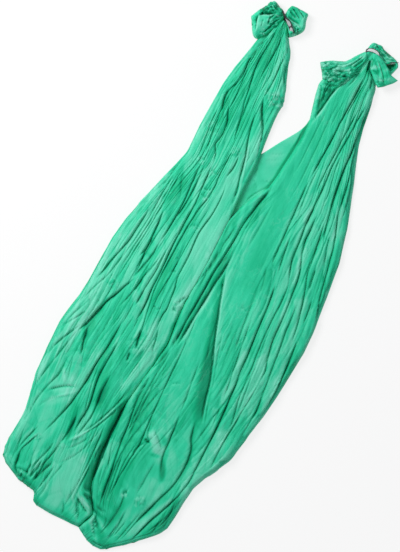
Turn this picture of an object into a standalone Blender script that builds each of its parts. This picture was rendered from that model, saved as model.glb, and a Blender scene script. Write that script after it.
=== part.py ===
# Aerial hammock of gathered nylon tricot, laid on the floor and folded at its seat.
# Metres, +Z up. The knots lie toward +Y, the seat's fold toward -Y, and the floor is z = 0.
# The sheet is one cloth on the real object. Here it is cut into named regions where it folds:
# the seat lobes, the upper pouch, the two gathered legs and the parts of the two knots.

import math

import bpy

# Driving dimensions
LAID_LENGTH = 2.300       # knot tops to the lowest lobe of the seat
LAID_WIDTH = 0.940        # widest spread of the laid pouch
CLOTH_GAP = 0.0003        # clearance that touching pieces keep
SEAT_GAP = 0.0005         # clearance where a knot's cloth lies on the cloth under it
CUT_OVERRUN = 0.004       # how far a cutter runs past the face it opens

BACK_THICKNESS = 0.003    # back layer of the pouch, lying flat under the front
RIM_HEIGHT = 0.009        # height of a rolled outer edge of the pouch
LIP_HEIGHT = 0.012        # height of the front lips where they meet
SEAT_CROWN = 0.026        # how far the seat swells above its rim
POUCH_CROWN = 0.026       # how far the upper pouch swells above its rim
LEG_CROWN = 0.026         # how far a gathered leg swells above its rim
NECK_RIM = 0.013          # rim of a leg where the knot grips it
NECK_CROWN = 0.018        # swell of a leg where the knot grips it
FOLD_DEPTH = 0.013        # depth of a main fold below the cloth beside it
WEB_THICKNESS = 0.005     # smooth web of the back layer between the legs

ROLL_HEIGHT = 0.056       # crumpled roll of cloth beside a knot
LOOP_HEIGHT = 0.046       # folded loop of cloth beside the left knot
EYE_LOOP_HEIGHT = 0.034   # bight of cloth round the right knot's eye
EYE_LOOP_WIDTH = 0.020    # breadth of that bight, seen from above
TAIL_HEIGHT = 0.018       # free tail flap of the right knot
GROOVE_DEPTH = 0.0045     # grooves between the bunched folds of a knot

WEBBING_WIDTH = 0.020     # strap that grips the gathered cloth
WEBBING_THICKNESS = 0.0025
LEFT_TURN_LENGTH = 0.112  # the left strap's turn, across the root of the loop
RIGHT_TURN_LENGTH = 0.064 # the right strap's turn, across the neck
TURN_HEIGHT = 0.052       # outer height of a strap's turn
TURN_CORNER = 0.014       # corner radius of a strap's turn
EYE_STRAP_LENGTH = 0.030  # bight of the strap that stands in the right knot's eye

POUCH_ROWS = 23
LEG_ROWS = 15
RING_POINTS = 18
CORNER_STEPS = 4

# Tables of places are shares of the laid length and width, on a drawing 2.300 long and 0.940 wide.
DRAWN_LENGTH_SHARE = 2.300
DRAWN_WIDTH_SHARE = 0.940
CENTRE_SHARES = (0.039, -0.008)
SEAT_FOLD_SHARE = -0.640
CROTCH_SHARE = 0.540

# Outer edges of the laid cloth: (place along, place across)
LEFT_EDGE_SHARES = (
    (1.062, -0.150), (1.000, -0.178), (0.954, -0.200), (0.875, -0.218), (0.815, -0.234),
    (0.733, -0.248), (0.636, -0.255), (0.540, -0.261), (0.431, -0.260), (0.388, -0.272),
    (0.300, -0.302), (0.175, -0.340), (0.077, -0.367), (-0.014, -0.383), (-0.114, -0.390),
    (-0.206, -0.395), (-0.272, -0.403), (-0.338, -0.418), (-0.400, -0.429), (-0.520, -0.4305),
    (-0.640, -0.424), (-0.735, -0.407), (-0.780, -0.400), (-0.844, -0.404), (-0.910, -0.412),
    (-0.950, -0.411), (-0.984, -0.403), (-1.007, -0.382), (-1.028, -0.343), (-1.046, -0.308),
    (-1.054, -0.262), (-1.062, -0.229), (-1.096, -0.217), (-1.109, -0.198), (-1.116, -0.128),
)
RIGHT_EDGE_SHARES = (
    (1.090, 0.252), (1.040, 0.276), (1.000, 0.300), (0.973, 0.312), (0.905, 0.326),
    (0.813, 0.336), (0.741, 0.350), (0.666, 0.374), (0.594, 0.399), (0.540, 0.415),
    (0.497, 0.429), (0.419, 0.452), (0.284, 0.482), (0.177, 0.492), (0.066, 0.501),
    (-0.024, 0.508), (-0.100, 0.5085), (-0.200, 0.498), (-0.300, 0.487), (-0.400, 0.472),
    (-0.500, 0.448), (-0.550, 0.440), (-0.600, 0.429), (-0.640, 0.414), (-0.676, 0.394),
    (-0.731, 0.362), (-0.772, 0.343), (-0.838, 0.333), (-0.913, 0.326), (-0.965, 0.318),
    (-1.000, 0.300), (-1.044, 0.254), (-1.100, 0.192), (-1.147, 0.131), (-1.158, 0.112),
)
# Where the two front lips meet, from the crotch down to the mouth's end at the seat
PARTING_SHARES = (
    (0.540, 0.012), (0.400, 0.008), (0.250, 0.006), (0.000, 0.002), (-0.150, -0.010),
    (-0.300, 0.001), (-0.400, -0.012), (-0.500, -0.034), (-0.600, -0.052), (-0.700, -0.058),
    (-0.800, -0.055), (-0.900, -0.042), (-0.960, -0.028), (-1.000, -0.004), (-1.045, 0.026),
    (-1.080, 0.008), (-1.116, -0.006), (-1.137, 0.026), (-1.158, 0.076),
)
# The right front's own lip, which leaves the web bare below the crotch
RIGHT_LIP_SHARES = (
    (0.540, 0.112), (0.490, 0.106), (0.440, 0.097), (0.400, 0.076), (0.350, 0.047),
    (0.310, 0.027), (0.250, 0.006),
)
LEFT_INNER_SHARES = (
    (1.062, -0.118), (1.040, -0.106), (1.000, -0.086), (0.967, -0.064), (0.895, -0.037),
    (0.816, -0.009), (0.768, 0.001), (0.701, 0.001), (0.649, 0.004), (0.585, 0.008),
    (0.540, 0.012),
)
RIGHT_INNER_SHARES = (
    (1.090, 0.221), (1.040, 0.196), (1.000, 0.168), (0.950, 0.128), (0.920, 0.103),
    (0.895, 0.098), (0.850, 0.105), (0.800, 0.116), (0.760, 0.125), (0.735, 0.130),
    (0.700, 0.129), (0.650, 0.125), (0.600, 0.120), (0.540, 0.112),
)
WEB_EDGE_SHARES = (
    (0.7366, 0.125), (0.700, 0.112), (0.664, 0.088), (0.618, 0.058), (0.558, 0.020),
    (0.540, 0.014),
)

# Main fold lines: where they lie across at each place along
POUCH_STATION_SHARES = (0.540, 0.300, 0.050, -0.200, -0.420, -0.640)
LEFT_POUCH_FOLD_SHARES = (
    (-0.251, -0.283, -0.318, -0.379, -0.404, -0.404),
    (-0.236, -0.243, -0.262, -0.315, -0.350, -0.345),
    (-0.208, -0.205, -0.205, -0.225, -0.228, -0.238),
    (-0.165, -0.178, -0.170, -0.182, -0.180, -0.168),
    (-0.105, -0.108, -0.140, -0.132, -0.124, -0.110),
    (-0.050, -0.062, -0.075, -0.068, -0.062, -0.078),
)
RIGHT_POUCH_FOLD_SHARES = (
    (0.126, 0.072, 0.045, 0.020, 0.006, -0.018),
    (0.148, 0.094, 0.074, 0.048, 0.032, 0.018),
    (0.176, 0.136, 0.095, 0.100, 0.068, 0.066),
    (0.204, 0.190, 0.160, 0.158, 0.168, 0.168),
    (0.236, 0.234, 0.238, 0.218, 0.228, 0.262),
    (0.287, 0.290, 0.290, 0.303, 0.312, 0.314),
    (0.322, 0.318, 0.352, 0.346, 0.360, 0.362),
    (0.372, 0.392, 0.408, 0.430, 0.428, 0.390),
)
LEG_STATION_SHARES = (1.090, 1.000, 0.850, 0.700, 0.540)
LEFT_LEG_FOLD_SHARES = (
    (-0.148, -0.168, -0.196, -0.224, -0.236),
    (-0.142, -0.156, -0.182, -0.184, -0.180),
    (-0.137, -0.146, -0.156, -0.146, -0.132),
    (-0.132, -0.118, -0.119, -0.100, -0.098),
    (-0.128, -0.104, -0.072, -0.062, -0.048),
)
RIGHT_LEG_FOLD_SHARES = (
    (0.226, 0.186, 0.142, 0.148, 0.142),
    (0.231, 0.212, 0.186, 0.190, 0.186),
    (0.235, 0.248, 0.245, 0.240, 0.236),
    (0.239, 0.262, 0.280, 0.284, 0.287),
    (0.243, 0.278, 0.304, 0.312, 0.324),
    (0.247, 0.290, 0.322, 0.340, 0.370),
)
SEAT_STATION_SHARES = (-0.640, -0.760, -0.880, -1.000, -1.060, -1.158)
LEFT_SEAT_FOLD_SHARES = (
    (-0.404, -0.386, -0.370, -0.350, -0.208, -0.140),
    (-0.330, -0.322, -0.320, -0.300, -0.190, -0.128),
    (-0.238, -0.262, -0.276, -0.262, -0.170, -0.100),
    (-0.178, -0.198, -0.226, -0.222, -0.140, -0.080),
    (-0.100, -0.130, -0.160, -0.160, -0.110, -0.060),
    (-0.076, -0.076, -0.080, -0.084, -0.060, -0.040),
)
RIGHT_SEAT_FOLD_SHARES = (
    (-0.018, -0.010, 0.010, 0.040, 0.040, 0.082),
    (0.066, 0.062, 0.054, 0.066, 0.072, 0.088),
    (0.168, 0.190, 0.180, 0.140, 0.112, 0.096),
    (0.262, 0.262, 0.246, 0.200, 0.160, 0.102),
    (0.314, 0.306, 0.296, 0.252, 0.200, 0.106),
)
SEAT_ROW_SHARES = (
    -0.640, -0.685, -0.731, -0.775, -0.820, -0.865, -0.910, -0.950, -0.980, -1.007,
    -1.030, -1.045, -1.054, -1.062, -1.078, -1.096, -1.109, -1.116,
)
LOBE_ROW_SHARES = (-1.137, -1.150, -1.158)
# A panel between two folds: how far across, and how high it stands out of the fold
PANEL_SHARES = ((0.20, 0.78), (0.58, 1.00), (0.88, 0.62))
LEAST_PANEL_SHARE = 0.35  # narrowest panel, against an even spacing of the folds
FOLD_LIMIT_SHARE = 0.62   # a fold cuts at most this share of the cloth's height there
CROWN_POWER_SHARE = 0.55  # how squarely the cloth swells between its edges

# Knots: centre lines (across, along) and breadths from the neck outward
LEFT_ROLL_SHARES = (
    (-0.160, 1.076, 0.036), (-0.176, 1.084, 0.048), (-0.199, 1.083, 0.064),
    (-0.219, 1.064, 0.074), (-0.226, 1.036, 0.074), (-0.223, 1.008, 0.066),
    (-0.215, 0.984, 0.050), (-0.209, 0.966, 0.026),
)
# The loop's line starts on the strap's near face and runs square to the strap: (reach, breadth),
# with each breadth a share of the strap's turn, which holds the loop's root
LEFT_LOOP_SHARES = (
    (0.000, 0.786), (0.011, 0.821), (0.022, 0.857), (0.034, 0.964), (0.050, 0.982),
    (0.068, 0.821), (0.082, 0.446),
)
RIGHT_ROLL_SHARES = (
    (0.224, 1.082, 0.024), (0.205, 1.056, 0.038), (0.187, 1.028, 0.056),
    (0.168, 1.000, 0.080), (0.148, 0.978, 0.098), (0.124, 0.962, 0.100),
    (0.102, 0.957, 0.076), (0.084, 0.956, 0.040),
)
EYE_LOOP_SHARES = (
    (0.226, 1.129), (0.248, 1.132), (0.272, 1.128), (0.298, 1.119), (0.322, 1.109),
    (0.338, 1.094), (0.341, 1.073), (0.328, 1.056), (0.304, 1.049), (0.280, 1.050),
)
TAIL_SHARES = (
    (0.2440, 1.0812, 0.022), (0.260, 1.067, 0.040), (0.281, 1.050, 0.062),
    (0.302, 1.034, 0.078), (0.322, 1.022, 0.074), (0.338, 1.013, 0.050),
)
LEFT_TURN_SHARES = (-0.121, 1.058)
LEFT_TURN_DIRECTION_SHARES = (0.75, -0.66)
RIGHT_TURN_SHARES = (0.240, 1.104)
RIGHT_TURN_DIRECTION_SHARES = (1.0, 0.0)
NECK_BREADTH_SHARES = (0.80, 0.86, 0.84)
EYE_STRAP_SHARES = (0.314, 1.089)
EYE_STRAP_DIRECTION_SHARES = (0.90, 0.43)

CLOTH_COLOUR = (0.06, 0.60, 0.36, 1.0)
CLOTH_SHADE_COLOUR = (0.03, 0.42, 0.24, 1.0)
WEB_COLOUR = (0.10, 0.68, 0.44, 1.0)
STRAP_COLOUR = (0.62, 0.63, 0.66, 1.0)


def clear_scene():
    """Removes what the new scene holds, so that only the hammock is left in it."""
    for thing in list(bpy.data.objects):
        bpy.data.objects.remove(thing, do_unlink=True)


def across(share):
    """Place across the hammock, from a share of its drawn width."""
    return (share - CENTRE_SHARES[0]) * LAID_WIDTH / DRAWN_WIDTH_SHARE


def along(share):
    """Place along the hammock, from a share of its drawn length."""
    return (share - CENTRE_SHARES[1]) * LAID_LENGTH / DRAWN_LENGTH_SHARE


def smooth_value(pairs, at):
    """Value at a place, on a smooth curve through (place, value) pairs."""
    pairs = sorted(pairs)
    if at <= pairs[0][0]:
        return pairs[0][1]
    if at >= pairs[-1][0]:
        return pairs[-1][1]
    i = max(n for n in range(len(pairs) - 1) if pairs[n][0] <= at)
    (x0, y0), (x1, y1) = pairs[i], pairs[i + 1]
    before = pairs[i - 1] if i > 0 else pairs[i]
    after = pairs[i + 2] if i + 2 < len(pairs) else pairs[i + 1]
    slope0 = (y1 - before[1]) / (x1 - before[0])
    slope1 = (after[1] - y0) / (after[0] - x0)
    t = (at - x0) / (x1 - x0)
    step = x1 - x0
    return (
        (2 * t**3 - 3 * t**2 + 1) * y0 + (t**3 - 2 * t**2 + t) * step * slope0
        + (-2 * t**3 + 3 * t**2) * y1 + (t**3 - t**2) * step * slope1
    )


def line_value(pairs, at):
    """Value at a place, on straight runs through (place, value) pairs."""
    pairs = sorted(pairs)
    if at <= pairs[0][0]:
        return pairs[0][1]
    for (x0, y0), (x1, y1) in zip(pairs, pairs[1:]):
        if at <= x1:
            return y0 + (y1 - y0) * (at - x0) / (x1 - x0)
    return pairs[-1][1]


def cloth_material(name, colour, roughness):
    """Plain finish of one piece."""
    material = bpy.data.materials.new(name)
    material.use_nodes = True
    shader = material.node_tree.nodes["Principled BSDF"]
    shader.inputs["Base Color"].default_value = colour
    shader.inputs["Roughness"].default_value = roughness
    shader.inputs["Metallic"].default_value = 0.0
    return material


def loft(name, rings, colour, roughness=0.55):
    """Closed solid through rings of points, whose skin is split the same way in every copy."""
    count = len(rings[0])
    points = [point for ring in rings for point in ring]
    faces = [tuple(range(count - 1, -1, -1))]
    for r in range(len(rings) - 1):
        low, high = r * count, (r + 1) * count
        for n in range(count):
            m = (n + 1) % count
            faces.append((low + n, low + m, high + m))
            faces.append((low + n, high + m, high + n))
    last = (len(rings) - 1) * count
    faces.append(tuple(range(last, last + count)))
    mesh = bpy.data.meshes.new(name)
    mesh.from_pydata(points, [], faces)
    mesh.validate()
    face_outward(mesh)
    thing = bpy.data.objects.new(name, mesh)
    bpy.context.collection.objects.link(thing)
    mesh.materials.append(cloth_material(name, colour, roughness))
    return thing


def face_outward(mesh):
    """Turns a closed mesh's faces out where their order has them pointing in."""
    volume = 0.0
    for face in mesh.polygons:
        corners = [mesh.vertices[i].co for i in face.vertices]
        for b, c in zip(corners[1:], corners[2:]):
            volume += corners[0].dot(b.cross(c))
    if volume < 0.0:
        mesh.flip_normals()


def swell(u):
    """Height share of cloth that swells between its two edges."""
    return max(0.0, 4.0 * u * (1.0 - u)) ** CROWN_POWER_SHARE


def panel_edges(left, right, folds):
    """Edges of the panels from left to right, each panel kept to a least width."""
    least = (right - left) * LEAST_PANEL_SHARE / (len(folds) + 1)
    edges = [left]
    for n, fold in enumerate(folds):
        nearest, furthest = edges[-1] + least, right - least * (len(folds) - n)
        edges.append(min(max(fold, nearest), furthest))
    return edges + [right]


def pleated_top(left, right, folds, low_left, low_right, crown, grow=0.0):
    """Top outline of pleated cloth from its left edge to its right: (across, height) pairs."""
    edges = panel_edges(left, right, folds)
    outline = [(left, low_left + grow)]
    for n, (a, b) in enumerate(zip(edges, edges[1:])):
        lifts = PANEL_SHARES + (((1.0, 0.0),) if n < len(folds) else ())
        for share, lift in lifts:
            place = a + (b - a) * share
            height = cloth_height(place, lift, left, right, low_left, low_right, crown)
            outline.append((place, height + grow))
    outline.append((right, low_right + grow))
    if grow:
        outline = [(left - grow, low_left + grow)] + outline + [(right + grow, low_right + grow)]
    return outline


def cloth_height(place, lift, left, right, low_left, low_right, crown):
    """Height of pleated cloth: lift is 1 on a panel's back and 0 at the bottom of a fold."""
    u = (place - left) / (right - left)
    height = low_left + (low_right - low_left) * u + crown * swell(u)
    depth = min(FOLD_DEPTH * (CROWN_POWER_SHARE + swell(u)), height * FOLD_LIMIT_SHARE)
    return height - depth * (1.0 - lift)


def pleated_ring(y, outline, floor_height, grow=0.0):
    """Closed ring at one place along: the pleated top, and a flat underside."""
    top = [(x, y, floor_height + height) for x, height in outline]
    right, left = top[-1], top[0]
    return top + [(right[0], y, floor_height - grow), (left[0], y, floor_height - grow)]


def fold_places(table, stations, at):
    """Places across of each fold line at one place along."""
    return [across(smooth_value(list(zip(stations, line)), at)) for line in table]


def even_rows(first, last, count):
    """Evenly spaced places along, ends included."""
    return [first + (last - first) * n / (count - 1) for n in range(count)]


def front_floor():
    """Height of the pouch's front cloth above the floor: it lies on the back layer."""
    return BACK_THICKNESS + CLOTH_GAP


def build_left_pouch():
    """Left front of the upper pouch, from the crotch to the seat's fold."""
    rings = []
    for row in pouch_rows():
        left = across(smooth_value(LEFT_EDGE_SHARES, row))
        right = across(smooth_value(PARTING_SHARES, row)) - CLOTH_GAP / 2
        folds = fold_places(LEFT_POUCH_FOLD_SHARES, POUCH_STATION_SHARES, row)
        outline = pleated_top(left, right, folds, RIM_HEIGHT, LIP_HEIGHT, POUCH_CROWN)
        rings.append(pleated_ring(pouch_place(row), outline, front_floor()))
    return loft("pouch_left_front", rings, CLOTH_COLOUR)


def build_right_pouch():
    """Right front of the upper pouch; near the crotch its lip draws back from the web."""
    rings = []
    for row in pouch_rows():
        left = across(right_lip_share(row)) + CLOTH_GAP / 2
        right = across(smooth_value(RIGHT_EDGE_SHARES, row))
        folds = fold_places(RIGHT_POUCH_FOLD_SHARES, POUCH_STATION_SHARES, row)
        outline = pleated_top(left, right, folds, LIP_HEIGHT, RIM_HEIGHT, POUCH_CROWN)
        rings.append(pleated_ring(pouch_place(row), outline, front_floor()))
    return loft("pouch_right_front", rings, CLOTH_COLOUR)


def right_lip_share(row):
    """Where the right front starts: its own lip above, the common parting below."""
    if row > RIGHT_LIP_SHARES[-1][0]:
        return max(smooth_value(RIGHT_LIP_SHARES, row), smooth_value(PARTING_SHARES, row))
    return smooth_value(PARTING_SHARES, row)


def pouch_rows():
    """Rows of the upper pouch, from the crotch down to the seat's fold."""
    return even_rows(CROTCH_SHARE, SEAT_FOLD_SHARE, POUCH_ROWS)


def pouch_place(row):
    """Place along of a pouch row, with the end rows drawn in to clear the pieces they meet."""
    place = along(row)
    if row == CROTCH_SHARE:
        return place - CLOTH_GAP / 2
    if row == SEAT_FOLD_SHARE:
        return place + CLOTH_GAP / 2
    return place


def seat_place(row):
    """Place along of a seat row, with the first drawn in to clear the upper pouch."""
    return along(row) - (CLOTH_GAP / 2 if row == SEAT_FOLD_SHARE else 0.0)


def build_left_seat():
    """Left lobe of the seat, whose lower edge wraps under in three steps."""
    rings = []
    for row in SEAT_ROW_SHARES:
        left = across(line_value(LEFT_EDGE_SHARES, row))
        right = across(smooth_value(PARTING_SHARES, row)) - CLOTH_GAP / 2
        crown = SEAT_CROWN * end_swell(row, SEAT_ROW_SHARES[-1])
        folds = fold_places(LEFT_SEAT_FOLD_SHARES, SEAT_STATION_SHARES, row)
        outline = pleated_top(left, right, folds, RIM_HEIGHT, LIP_HEIGHT, crown)
        rings.append(pleated_ring(seat_place(row), outline, front_floor()))
    return loft("seat_left_lobe", rings, CLOTH_COLOUR)


def build_right_seat():
    """Right lobe of the seat, the lowest point of the laid hammock."""
    rings = []
    for row in SEAT_ROW_SHARES + LOBE_ROW_SHARES:
        left = across(smooth_value(PARTING_SHARES, row)) + CLOTH_GAP / 2
        right = across(line_value(RIGHT_EDGE_SHARES, row))
        crown = SEAT_CROWN * end_swell(row, LOBE_ROW_SHARES[-1])
        folds = fold_places(RIGHT_SEAT_FOLD_SHARES, SEAT_STATION_SHARES, row)
        outline = pleated_top(left, right, folds, LIP_HEIGHT, RIM_HEIGHT, crown)
        rings.append(pleated_ring(seat_place(row), outline, front_floor()))
    return loft("seat_right_lobe", rings, CLOTH_COLOUR)


def end_swell(row, last):
    """How much of the seat's swell is left at a row near its closed end."""
    reach = (row - last) / (SEAT_FOLD_SHARE - last)
    return min(1.0, max(0.0, reach)) ** CROWN_POWER_SHARE if reach < 1.0 else 1.0


def build_back(name, rows, place, left_edge, right_edge):
    """Thin flat back layer under the front cloth, between two edges."""
    rings = []
    for row in rows:
        left, right, y = left_edge(row), right_edge(row), place(row)
        rings.append([(left, y, BACK_THICKNESS), (right, y, BACK_THICKNESS),
                      (right, y, 0.0), (left, y, 0.0)])
    return loft(name, rings, CLOTH_SHADE_COLOUR)


def outer_left(row):
    """Left outer edge, on straight runs so that it follows the lobes."""
    edge = line_value if row < SEAT_FOLD_SHARE else smooth_value
    return across(edge(LEFT_EDGE_SHARES, row))


def seat_back_left(row):
    """Left edge of the seat's back layer, which ends on the parting under the lowest lobe."""
    if row < SEAT_ROW_SHARES[-1]:
        return across(smooth_value(PARTING_SHARES, row))
    return outer_left(row)


def outer_right(row):
    """Right outer edge, on straight runs so that it follows the lobes."""
    edge = line_value if row < SEAT_FOLD_SHARE else smooth_value
    return across(edge(RIGHT_EDGE_SHARES, row))


def build_leg(name, left_edge, right_edge, folds_table, top_share, grow=0.0):
    """A gathered leg from the crotch up to its knot; grow makes a cutter for what lies on it."""
    rings = []
    rows = even_rows(top_share, CROTCH_SHARE, LEG_ROWS)
    for row in rows:
        left, right = across(smooth_value(left_edge, row)), across(smooth_value(right_edge, row))
        gathered = (row - CROTCH_SHARE) / (top_share - CROTCH_SHARE)
        neck = max(0.0, 2.0 * gathered - 1.0)
        rim = RIM_HEIGHT + (NECK_RIM - RIM_HEIGHT) * neck
        crown = LEG_CROWN + (NECK_CROWN - LEG_CROWN) * neck
        folds = fold_places(folds_table, LEG_STATION_SHARES, row)
        outline = pleated_top(left, right, folds, rim, rim, crown, grow)
        y = along(row) + (CLOTH_GAP / 2 if row == rows[-1] else 0.0)
        if grow and row == rows[0]:
            rings.append(pleated_ring(y + grow, outline, 0.0, grow))
        rings.append(pleated_ring(y, outline, 0.0, grow))
    return loft(name, rings, CLOTH_COLOUR)


def build_web():
    """Smooth web of the back layer that spans from the crotch up the right leg's inner edge."""
    leg_rows = even_rows(RIGHT_EDGE_SHARES[0][0], CROTCH_SHARE, LEG_ROWS)
    rows = [row for row in leg_rows if row <= WEB_EDGE_SHARES[0][0]]
    rings = []
    for row in rows:
        left = across(smooth_value(WEB_EDGE_SHARES, row))
        right = across(smooth_value(RIGHT_INNER_SHARES, row)) - CLOTH_GAP
        y = along(row) + (CLOTH_GAP / 2 if row == rows[-1] else 0.0)
        rings.append([(left, y, WEB_THICKNESS), (right, y, WEB_THICKNESS),
                      (right, y, 0.0), (left, y, 0.0)])
    return loft("right_leg_web", rings, WEB_COLOUR)


def bunch_ring(centre, direction, breadth, height, floor_height, grooves, grow=0.0):
    """Ring across bunched cloth: round on top, flat under, with grooves between its folds."""
    side = (direction[1], -direction[0])
    ring = []
    for n in range(RING_POINTS):
        turn = 2.0 * math.pi * n / RING_POINTS
        reach = math.cos(turn) * (breadth / 2 + grow)
        rise = math.sin(turn) * (height / 2 + grow)
        groove = GROOVE_DEPTH * max(0.0, math.sin(turn)) * (n % grooves == 0)
        z = floor_height + height / 2 + max(rise, -height / 2 - grow) - groove
        ring.append((centre[0] + side[0] * reach, centre[1] + side[1] * reach, z))
    return ring


def build_bunch(name, line, height, floor_height, grooves, grow=0.0):
    """Bunched cloth along a centre line of (x, y, breadth), rounded down at its narrow places."""
    broadest = max(breadth for _, _, breadth in line)
    rings = []
    for n, (x, y, breadth) in enumerate(line):
        behind, ahead = line[max(0, n - 1)], line[min(len(line) - 1, n + 1)]
        dx, dy = ahead[0] - behind[0], ahead[1] - behind[1]
        length = math.hypot(dx, dy)
        tall = height * (breadth / broadest) ** CROWN_POWER_SHARE
        rings.append(bunch_ring((x, y), (dx / length, dy / length), breadth, tall,
                                floor_height, grooves, grow))
    return loft(name, rings, CLOTH_COLOUR)


def drawn_line(table):
    """Centre line in metres from a table of (across, along, breadth) shares."""
    return [(across(x), along(y), breadth * LAID_WIDTH / DRAWN_WIDTH_SHARE) for x, y, breadth in table]


def turn_outline(length, height, corner, centre_height):
    """Rounded outline of a strap's turn, as (across, height) pairs."""
    half, rise = length / 2 - corner, height / 2 - corner
    outline = []
    for quarter, (side, end) in enumerate(((1, 1), (-1, 1), (-1, -1), (1, -1))):
        for step in range(CORNER_STEPS + 1):
            angle = math.pi / 2 * (quarter + step / CORNER_STEPS)
            outline.append((side * half + corner * math.cos(angle),
                            centre_height + end * rise + corner * math.sin(angle)))
    return outline


def turn_ring(centre, way, outline, shift):
    """A strap's outline stood across its cloth, moved along the cloth by a shift."""
    return [(centre[0] + way[0] * a - way[1] * shift, centre[1] + way[1] * a + way[0] * shift, z)
            for a, z in outline]


def unit_way(direction):
    """Direction of length 1."""
    size = math.hypot(*direction)
    return direction[0] / size, direction[1] / size


def build_turn(name, centre, direction, length):
    """A strap's turn: a flat band bent to a rounded ring that stands across the cloth it grips."""
    way = unit_way(direction)
    middle = TURN_HEIGHT / 2
    outer = turn_outline(length, TURN_HEIGHT, TURN_CORNER, middle)
    inner = turn_outline(length - 2 * WEBBING_THICKNESS, TURN_HEIGHT - 2 * WEBBING_THICKNESS,
                         TURN_CORNER - WEBBING_THICKNESS, middle)
    half = WEBBING_WIDTH / 2
    rings = [turn_ring(centre, way, outer, -half), turn_ring(centre, way, outer, half),
             turn_ring(centre, way, inner, half), turn_ring(centre, way, inner, -half)]
    count = len(outer)
    faces = []
    for a, b in ((0, 1), (1, 2), (2, 3), (3, 0)):
        for n in range(count):
            m = (n + 1) % count
            faces.append((a * count + n, a * count + m, b * count + m, b * count + n))
    mesh = bpy.data.meshes.new(name)
    mesh.from_pydata([point for ring in rings for point in ring], [], faces)
    face_outward(mesh)
    thing = bpy.data.objects.new(name, mesh)
    bpy.context.collection.objects.link(thing)
    mesh.materials.append(cloth_material(name, STRAP_COLOUR, 0.6))
    return thing


def build_turn_block(name, centre, direction, length):
    """Cutter the size of a strap's whole turn, with its clearance."""
    way = unit_way(direction)
    outline = turn_outline(length + 2 * CLOTH_GAP, TURN_HEIGHT + 2 * CUT_OVERRUN,
                           TURN_CORNER, TURN_HEIGHT / 2)
    half = WEBBING_WIDTH / 2 + CLOTH_GAP
    rings = [turn_ring(centre, way, outline, shift) for shift in (-half, half)]
    return hide_cutter(loft(name, rings, STRAP_COLOUR))


def hide_cutter(thing):
    """Marks a solid as a cutter only."""
    thing.hide_render = True
    thing.display_type = "WIRE"
    return thing


def cut_by(thing, *cutters):
    """Leaves a piece seated against the pieces that the cutters stand for."""
    for cutter in cutters:
        cut = thing.modifiers.new("seat", "BOOLEAN")
        cut.operation = "DIFFERENCE"
        cut.solver = "EXACT"
        cut.object = cutter


def hang_on(name, place, pieces, parent=None):
    """Stands an empty on a joint's axis and hangs its pieces from it, each with its origin there."""
    axis = bpy.data.objects.new(name, None)
    bpy.context.collection.objects.link(axis)
    axis.parent = parent
    held = parent["axis_place"] if parent else (0.0, 0.0, 0.0)
    axis.location = [a - b for a, b in zip(place, held)]
    axis["axis_place"] = place
    for piece in pieces:
        for vertex in piece.data.vertices:
            vertex.co = [a - b for a, b in zip(vertex.co, place)]
        piece.parent = axis
    return axis


def build_left_knot(leg):
    """Left knot: a crumpled roll, a folded loop, and the strap's turn across the loop's root."""
    centre = (across(LEFT_TURN_SHARES[0]), along(LEFT_TURN_SHARES[1]))
    way = unit_way(LEFT_TURN_DIRECTION_SHARES)
    webbing = build_turn("left_webbing", centre, way, LEFT_TURN_LENGTH)
    block = build_turn_block("left_turn_cutter", centre, way, LEFT_TURN_LENGTH)
    grown_leg = hide_cutter(build_leg("left_leg_cutter", LEFT_EDGE_SHARES, LEFT_INNER_SHARES,
                                      LEFT_LEG_FOLD_SHARES, LEFT_EDGE_SHARES[0][0], SEAT_GAP))
    roll = build_bunch("left_knot_roll", drawn_line(LEFT_ROLL_SHARES), ROLL_HEIGHT, 0.0, 2)
    cut_by(roll, grown_leg, block)
    start = (centre[0] + way[1] * WEBBING_WIDTH / 2, centre[1] - way[0] * WEBBING_WIDTH / 2)
    line = []
    for reach_share, breadth_share in LEFT_LOOP_SHARES:
        reach = reach_share * LAID_LENGTH / DRAWN_LENGTH_SHARE
        line.append((start[0] - way[1] * reach, start[1] + way[0] * reach,
                     breadth_share * LEFT_TURN_LENGTH))
    loop = build_bunch("left_knot_loop", line, LOOP_HEIGHT, WEBBING_THICKNESS + CLOTH_GAP, 3)
    cut_by(leg, block)
    return [roll, loop, webbing]


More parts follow.
